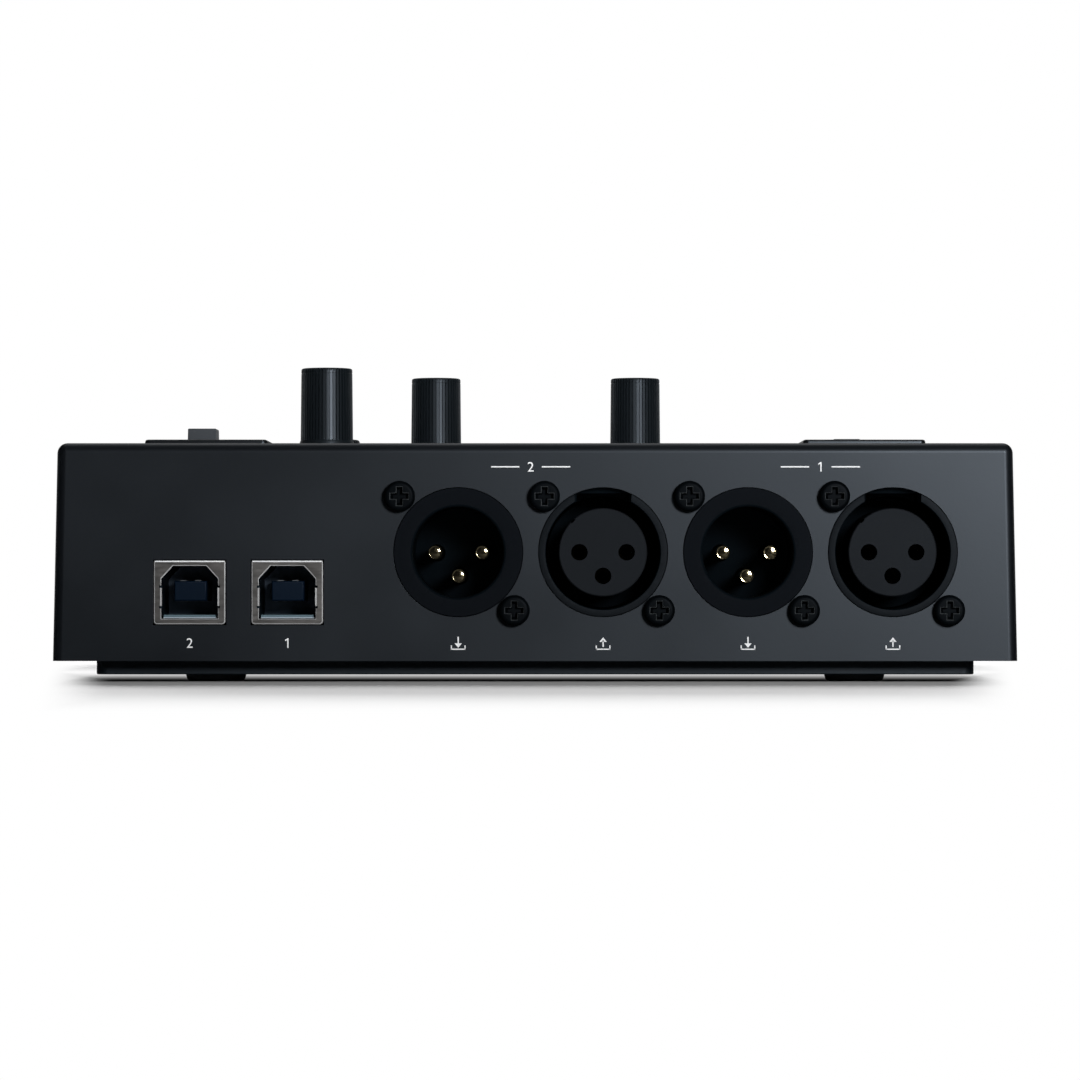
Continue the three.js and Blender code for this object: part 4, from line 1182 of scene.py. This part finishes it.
def numeral(text):
    """A numeral of Blender's own font, or a figure 1 with a short flag."""
    if text == "1":
        one = [(0, -0.5), (0.13, -0.5), (0.13, 0.5), (0.02, 0.5), (-0.22, 0.34), (-0.22, 0.19),
               (0, 0.33)]
        return prism([(x * NUMERAL_HEIGHT, y * NUMERAL_HEIGHT) for x, y in one],
                     -HALF_PRINT, HALF_PRINT)
    curve = bpy.data.curves.new("numeral", "FONT")
    curve.body = text
    curve.size = 10 * mm
    curve.extrude = HALF_PRINT
    letter = added("numeral", curve)
    shape = evaluated(letter)
    bpy.data.objects.remove(letter)
    bpy.data.curves.remove(curve)
    xs = [vert.co.x for vert in shape.verts]
    ys = [vert.co.y for vert in shape.verts]
    shift(shape, (-(min(xs) + max(xs)) / 2, -(min(ys) + max(ys)) / 2, 0))
    size = NUMERAL_HEIGHT / (max(ys) - min(ys))
    bmesh.ops.scale(shape, vec=(size, size, 1), verts=shape.verts)
    return shape


def bar(x, y, width, height):
    """A printed bar, from millimetres."""
    return block(Vector(at(x, y)), *at(width / 2, height / 2), -HALF_PRINT, HALF_PRINT)


def arrow(into):
    """A plain arrow that points into a tray, for an input, or out of it, for an output."""
    tip, base, shaft = (-0.75, -0.05, 0.5) if into else (0.75, 0.2, -0.1)
    head = prism(corners((-0.62, 0), (0.62, 0), (0, tip)), -HALF_PRINT, HALF_PRINT)
    return together(shift(head, at(0, base, 0)), bar(0, shaft, 0.22, 1.1), bar(0, -1.05, 2.5, 0.2),
                    bar(-1.15, -0.75, 0.2, 0.7), bar(1.15, -0.75, 0.2, 0.7))


class LC_OT_panel_print(Operator):
    """Plain numerals, thin lines and arrows on the rear panel"""
    bl_idname = "lighting_controller.panel_print"
    bl_label = "Panel print"

    def execute(self, context):
        ink = legend_ink(context)

        def print_at(name, shape, x, z):
            present(name, on_panel(shape, Vector((x, 0, z))), [ink])

        for name in PORTS:
            print_at(f"port_numeral_{name}", numeral(name), middle(f"usb_shell_{name}").x, SIGN_ROW)
        for line in ("2", "1"):
            ways = {way: middle(f"socket_housing_{way}_{line}").x for way in ("in", "out")}
            rules = [bar(x, 0, 4.8, 0.22) for x in (-4.3, 4.3)]
            print_at(f"line_numeral_{line}", together(numeral(line), *rules),
                     sum(ways.values()) / 2, LINE_ROW)
            for way, x in ways.items():
                print_at(f"{way}_sign_{line}", arrow(way == "in"), x, SIGN_ROW)
        return {"FINISHED"}


# Inner pieces keep their solids and get a finish

class LC_OT_inner_pieces(Operator):
    """Finishes of the boards, cable, tracks, levers and shafts inside"""
    bl_idname = "lighting_controller.inner_pieces"
    bl_label = "Inner pieces"

    def execute(self, context):
        steel = metal("Bright steel", (0.55, 0.55, 0.56), 0.28)
        track = metal("Track metal", (0.45, 0.46, 0.48), 0.38, across=900, along=4000)
        board = solder_mask()
        finishes = {"main_board": board, "control_board": board, "ribbon_cable": ribbon_wires()}
        for side in SIDES:
            finishes[f"fader_track_{side}"] = track
            finishes[f"fader_lever_{side}"] = steel
        for index in (1, 2, 3):
            finishes[f"encoder_shaft_{index}"] = steel
        for name, material in finishes.items():
            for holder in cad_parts[name].material_slots:
                holder.material = material
        return {"FINISHED"}


# Studio

CAMERA_PLACE = (-0.00083, 0.82205, 0.0162)
CAMERA_PITCH = math.radians(90.626)
CAMERA_LENS = 143.7
OVERHEAD = ((0, -0.78, 1.2), (0, 0, 0), 1.2, 0.8)
SHEEN = ((0, -0.78, 1.21), (0, 0, 0), 1.2, 0.8)
LOW = ((0, -1.3, 0.55), (0, 0, 0), 2.0, 0.45)
PANEL = ((-0.26, 0.74, 0.19), (0, 0.09, 0.02), 0.15, 0.15)
WHITE = (1, 1, 1, 1)
DIM = (0.006, 0.006, 0.0065)
GREY = (0.5, 0.5, 0.5)
FLOOR_PALE, FLOOR_DIM = 0.92, 0.015
FLOOR_MIDDLE_X = 0.001
# The line that the floor's fade to white starts from, and where it starts and ends
FADE_ASIDE = (0, 0.0806, 0.0921)
FADE_AHEAD = (0.03, 0.15, 0.24)
# Under the object the floor glows white for the camera: painted light where the object's shadow
# would fall.
PAINTED_GLOW_BENEATH = (0, 0.073, -0.011)
FADE_SPREAD = 0.105


def soft_light(name, place, aim, width, height, power, shows_in_gloss=True):
    lamp = bpy.data.lights.new(name, "AREA")
    lamp.shape = "RECTANGLE"
    lamp.size = width
    lamp.size_y = height
    lamp.energy = power
    light = added(name, lamp)
    light.location = place
    light.rotation_euler = (Vector(aim) - Vector(place)).to_track_quat("-Z", "Y").to_euler()
    light.visible_camera = False
    light.visible_glossy = shows_in_gloss


def seen_by(tree):
    """The kinds of ray, and 1 for rays of the camera, mirrors and glass, or 0 for light."""
    path = put(tree, "ShaderNodeLightPath").outputs
    seen = maths(tree, "MAXIMUM", path["Is Camera Ray"], path["Is Glossy Ray"])
    return path, maths(tree, "MAXIMUM", seen, path["Is Transmission Ray"])


def away(tree, value, centre, start, end):
    """0 at one distance from a line, rising smoothly to 1 at another."""
    distance = maths(tree, "ABSOLUTE", maths(tree, "SUBTRACT", value, centre))
    return eased(tree, distance, start, end)


class LC_OT_studio(Operator):
    """Pale floor, soft lights, white surroundings and the camera"""
    bl_idname = "lighting_controller.studio"
    bl_label = "Studio"

    def execute(self, context):
        scene = context.scene
        studio = scene.controller_studio
        scene.view_settings.view_transform = "Standard"
        self.camera(scene)
        soft_light("overhead_light", *OVERHEAD, studio.overhead_power, False)
        soft_light("sheen_light", *SHEEN, studio.sheen_power)
        soft_light("low_light", *LOW, studio.low_power, False)
        soft_light("panel_light", *PANEL, studio.panel_power)
        self.surroundings(scene, studio)
        self.floor()
        return {"FINISHED"}

    def camera(self, scene):
        data = bpy.data.cameras.new("camera")
        data.lens = CAMERA_LENS
        data.sensor_width = 36
        data.clip_start = 0.01
        data.clip_end = 100
        camera = added("camera", data)
        camera.location = CAMERA_PLACE
        camera.rotation_euler = (CAMERA_PITCH, 0, math.pi)
        scene.camera = camera

    def surroundings(self, scene, studio):
        """White for the camera, and dim for gloss, with grey behind the object and overhead."""
        world = bpy.data.worlds.new("studio")
        world.use_nodes = True
        scene.world = world
        tree = world.node_tree
        plain = feed(tree, tree.nodes["Background"], {"Color": WHITE, "Strength": studio.ambient})
        way = axes(tree, put(tree, "ShaderNodeTexCoord").outputs["Generated"])
        behind = maths(tree, "MULTIPLY", eased(tree, way["Y"], -0.5, -0.95),
                       eased(tree, way["Z"], 0.5, 0.2))
        above = eased(tree, way["Z"], 0.75, 1, 0.3)
        shade = blend(tree, maths(tree, "MAXIMUM", behind, above), DIM, GREY)
        shown = put(tree, "ShaderNodeBackground", {"Color": shade})
        white = put(tree, "ShaderNodeBackground", {"Color": WHITE})
        path, seen = seen_by(tree)
        gloss = either(tree, seen, plain, shown)
        camera = either(tree, path["Is Camera Ray"], gloss, white)
        feed(tree, tree.nodes["World Output"], {"Surface": camera.outputs[0]})

    def floor(self):
        """Lit near the object, where its shadow falls, plain white further out and beneath the
        object, where this glow is painted light over its shadow, and clear from below. It looks dim
        to gloss on the user's side."""
        shape = bmesh.new()
        bmesh.ops.create_grid(shape, x_segments=8, y_segments=8, size=6)
        floor = added("floor", as_mesh(shape, "floor"))
        material = bpy.data.materials.new("Studio floor")
        material.use_nodes = True
        tree = material.node_tree
        place = axes(tree, put(tree, "ShaderNodeTexCoord").outputs["Object"])
        path, seen = seen_by(tree)
        before = eased(tree, place["Y"], -0.5, -0.15)
        dimmed = maths(tree, "MULTIPLY", before, path["Is Glossy Ray"])
        shade = blend(tree, dimmed, [FLOOR_PALE] * 3, [FLOOR_DIM] * 3)
        lit = feed(tree, tree.nodes["Principled BSDF"],
                   {"Base Color": shade, "Roughness": 0.9, "Specular IOR Level": 0.1})
        strength = ranged(tree, dimmed, 0, 1, 1, FLOOR_DIM)
        glow = put(tree, "ShaderNodeEmission", {"Strength": strength})
        sideways = maths(tree, "ABSOLUTE", maths(tree, "SUBTRACT", place["X"], FLOOR_MIDDLE_X))
        widened = maths(tree, "MULTIPLY_ADD", place["Y"], FADE_SPREAD, sideways)
        plain = maths(tree, "MAXIMUM", away(tree, widened, *FADE_ASIDE),
                      away(tree, place["Y"], *FADE_AHEAD))
        # Painted light: the floor under the object glows white over its shadow.
        plain = maths(tree, "MAXIMUM", plain, away(tree, place["Y"], *PAINTED_GLOW_BENEATH))
        above = either(tree, maths(tree, "MULTIPLY", plain, seen), lit, glow)
        backfacing = put(tree, "ShaderNodeNewGeometry").outputs["Backfacing"]
        under = maths(tree, "MULTIPLY", backfacing, path["Is Camera Ray"])
        whole = either(tree, under, above, put(tree, "ShaderNodeBsdfTransparent"))
        feed(tree, tree.nodes["Material Output"], {"Surface": whole.outputs[0]})
        floor.data.materials.append(material)


OPERATORS = (
    LC_OT_case_shell,
    LC_OT_bottom_cover,
    LC_OT_feet,
    LC_OT_case_screws,
    LC_OT_male_sockets,
    LC_OT_female_sockets,
    LC_OT_socket_screws,
    LC_OT_data_ports,
    LC_OT_knobs,
    LC_OT_round_button,
    LC_OT_pads,
    LC_OT_fader_plates,
    LC_OT_fader_caps,
    LC_OT_panel_print,
    LC_OT_inner_pieces,
    LC_OT_studio,
)


class LC_PT_controller(Panel):
    """Lists the controller's sizes, colours and pieces"""
    bl_idname = "LC_PT_controller"
    bl_label = "Lighting controller"
    bl_space_type = "VIEW_3D"
    bl_region_type = "UI"
    bl_category = "Controller"

    def draw(self, context):
        for group, kind in SETTINGS.items():
            column = self.layout.column()
            for name in kind.__annotations__:
                column.prop(getattr(context.scene, group), name)
        for operator in OPERATORS:
            self.layout.operator(operator.bl_idname)


CLASSES = (*SETTINGS.values(), *OPERATORS, LC_PT_controller)


def register():
    for kind in CLASSES:
        bpy.utils.register_class(kind)
    for group, kind in SETTINGS.items():
        setattr(Scene, group, PointerProperty(type=kind))


def unregister():
    for group in SETTINGS:
        delattr(Scene, group)
    for kind in reversed(CLASSES):
        bpy.utils.unregister_class(kind)


def main():
    register()
    for operator in OPERATORS:
        group, name = operator.bl_idname.split(".")
        getattr(getattr(bpy.ops, group), name)()


if __name__ == "__main__":
    main()
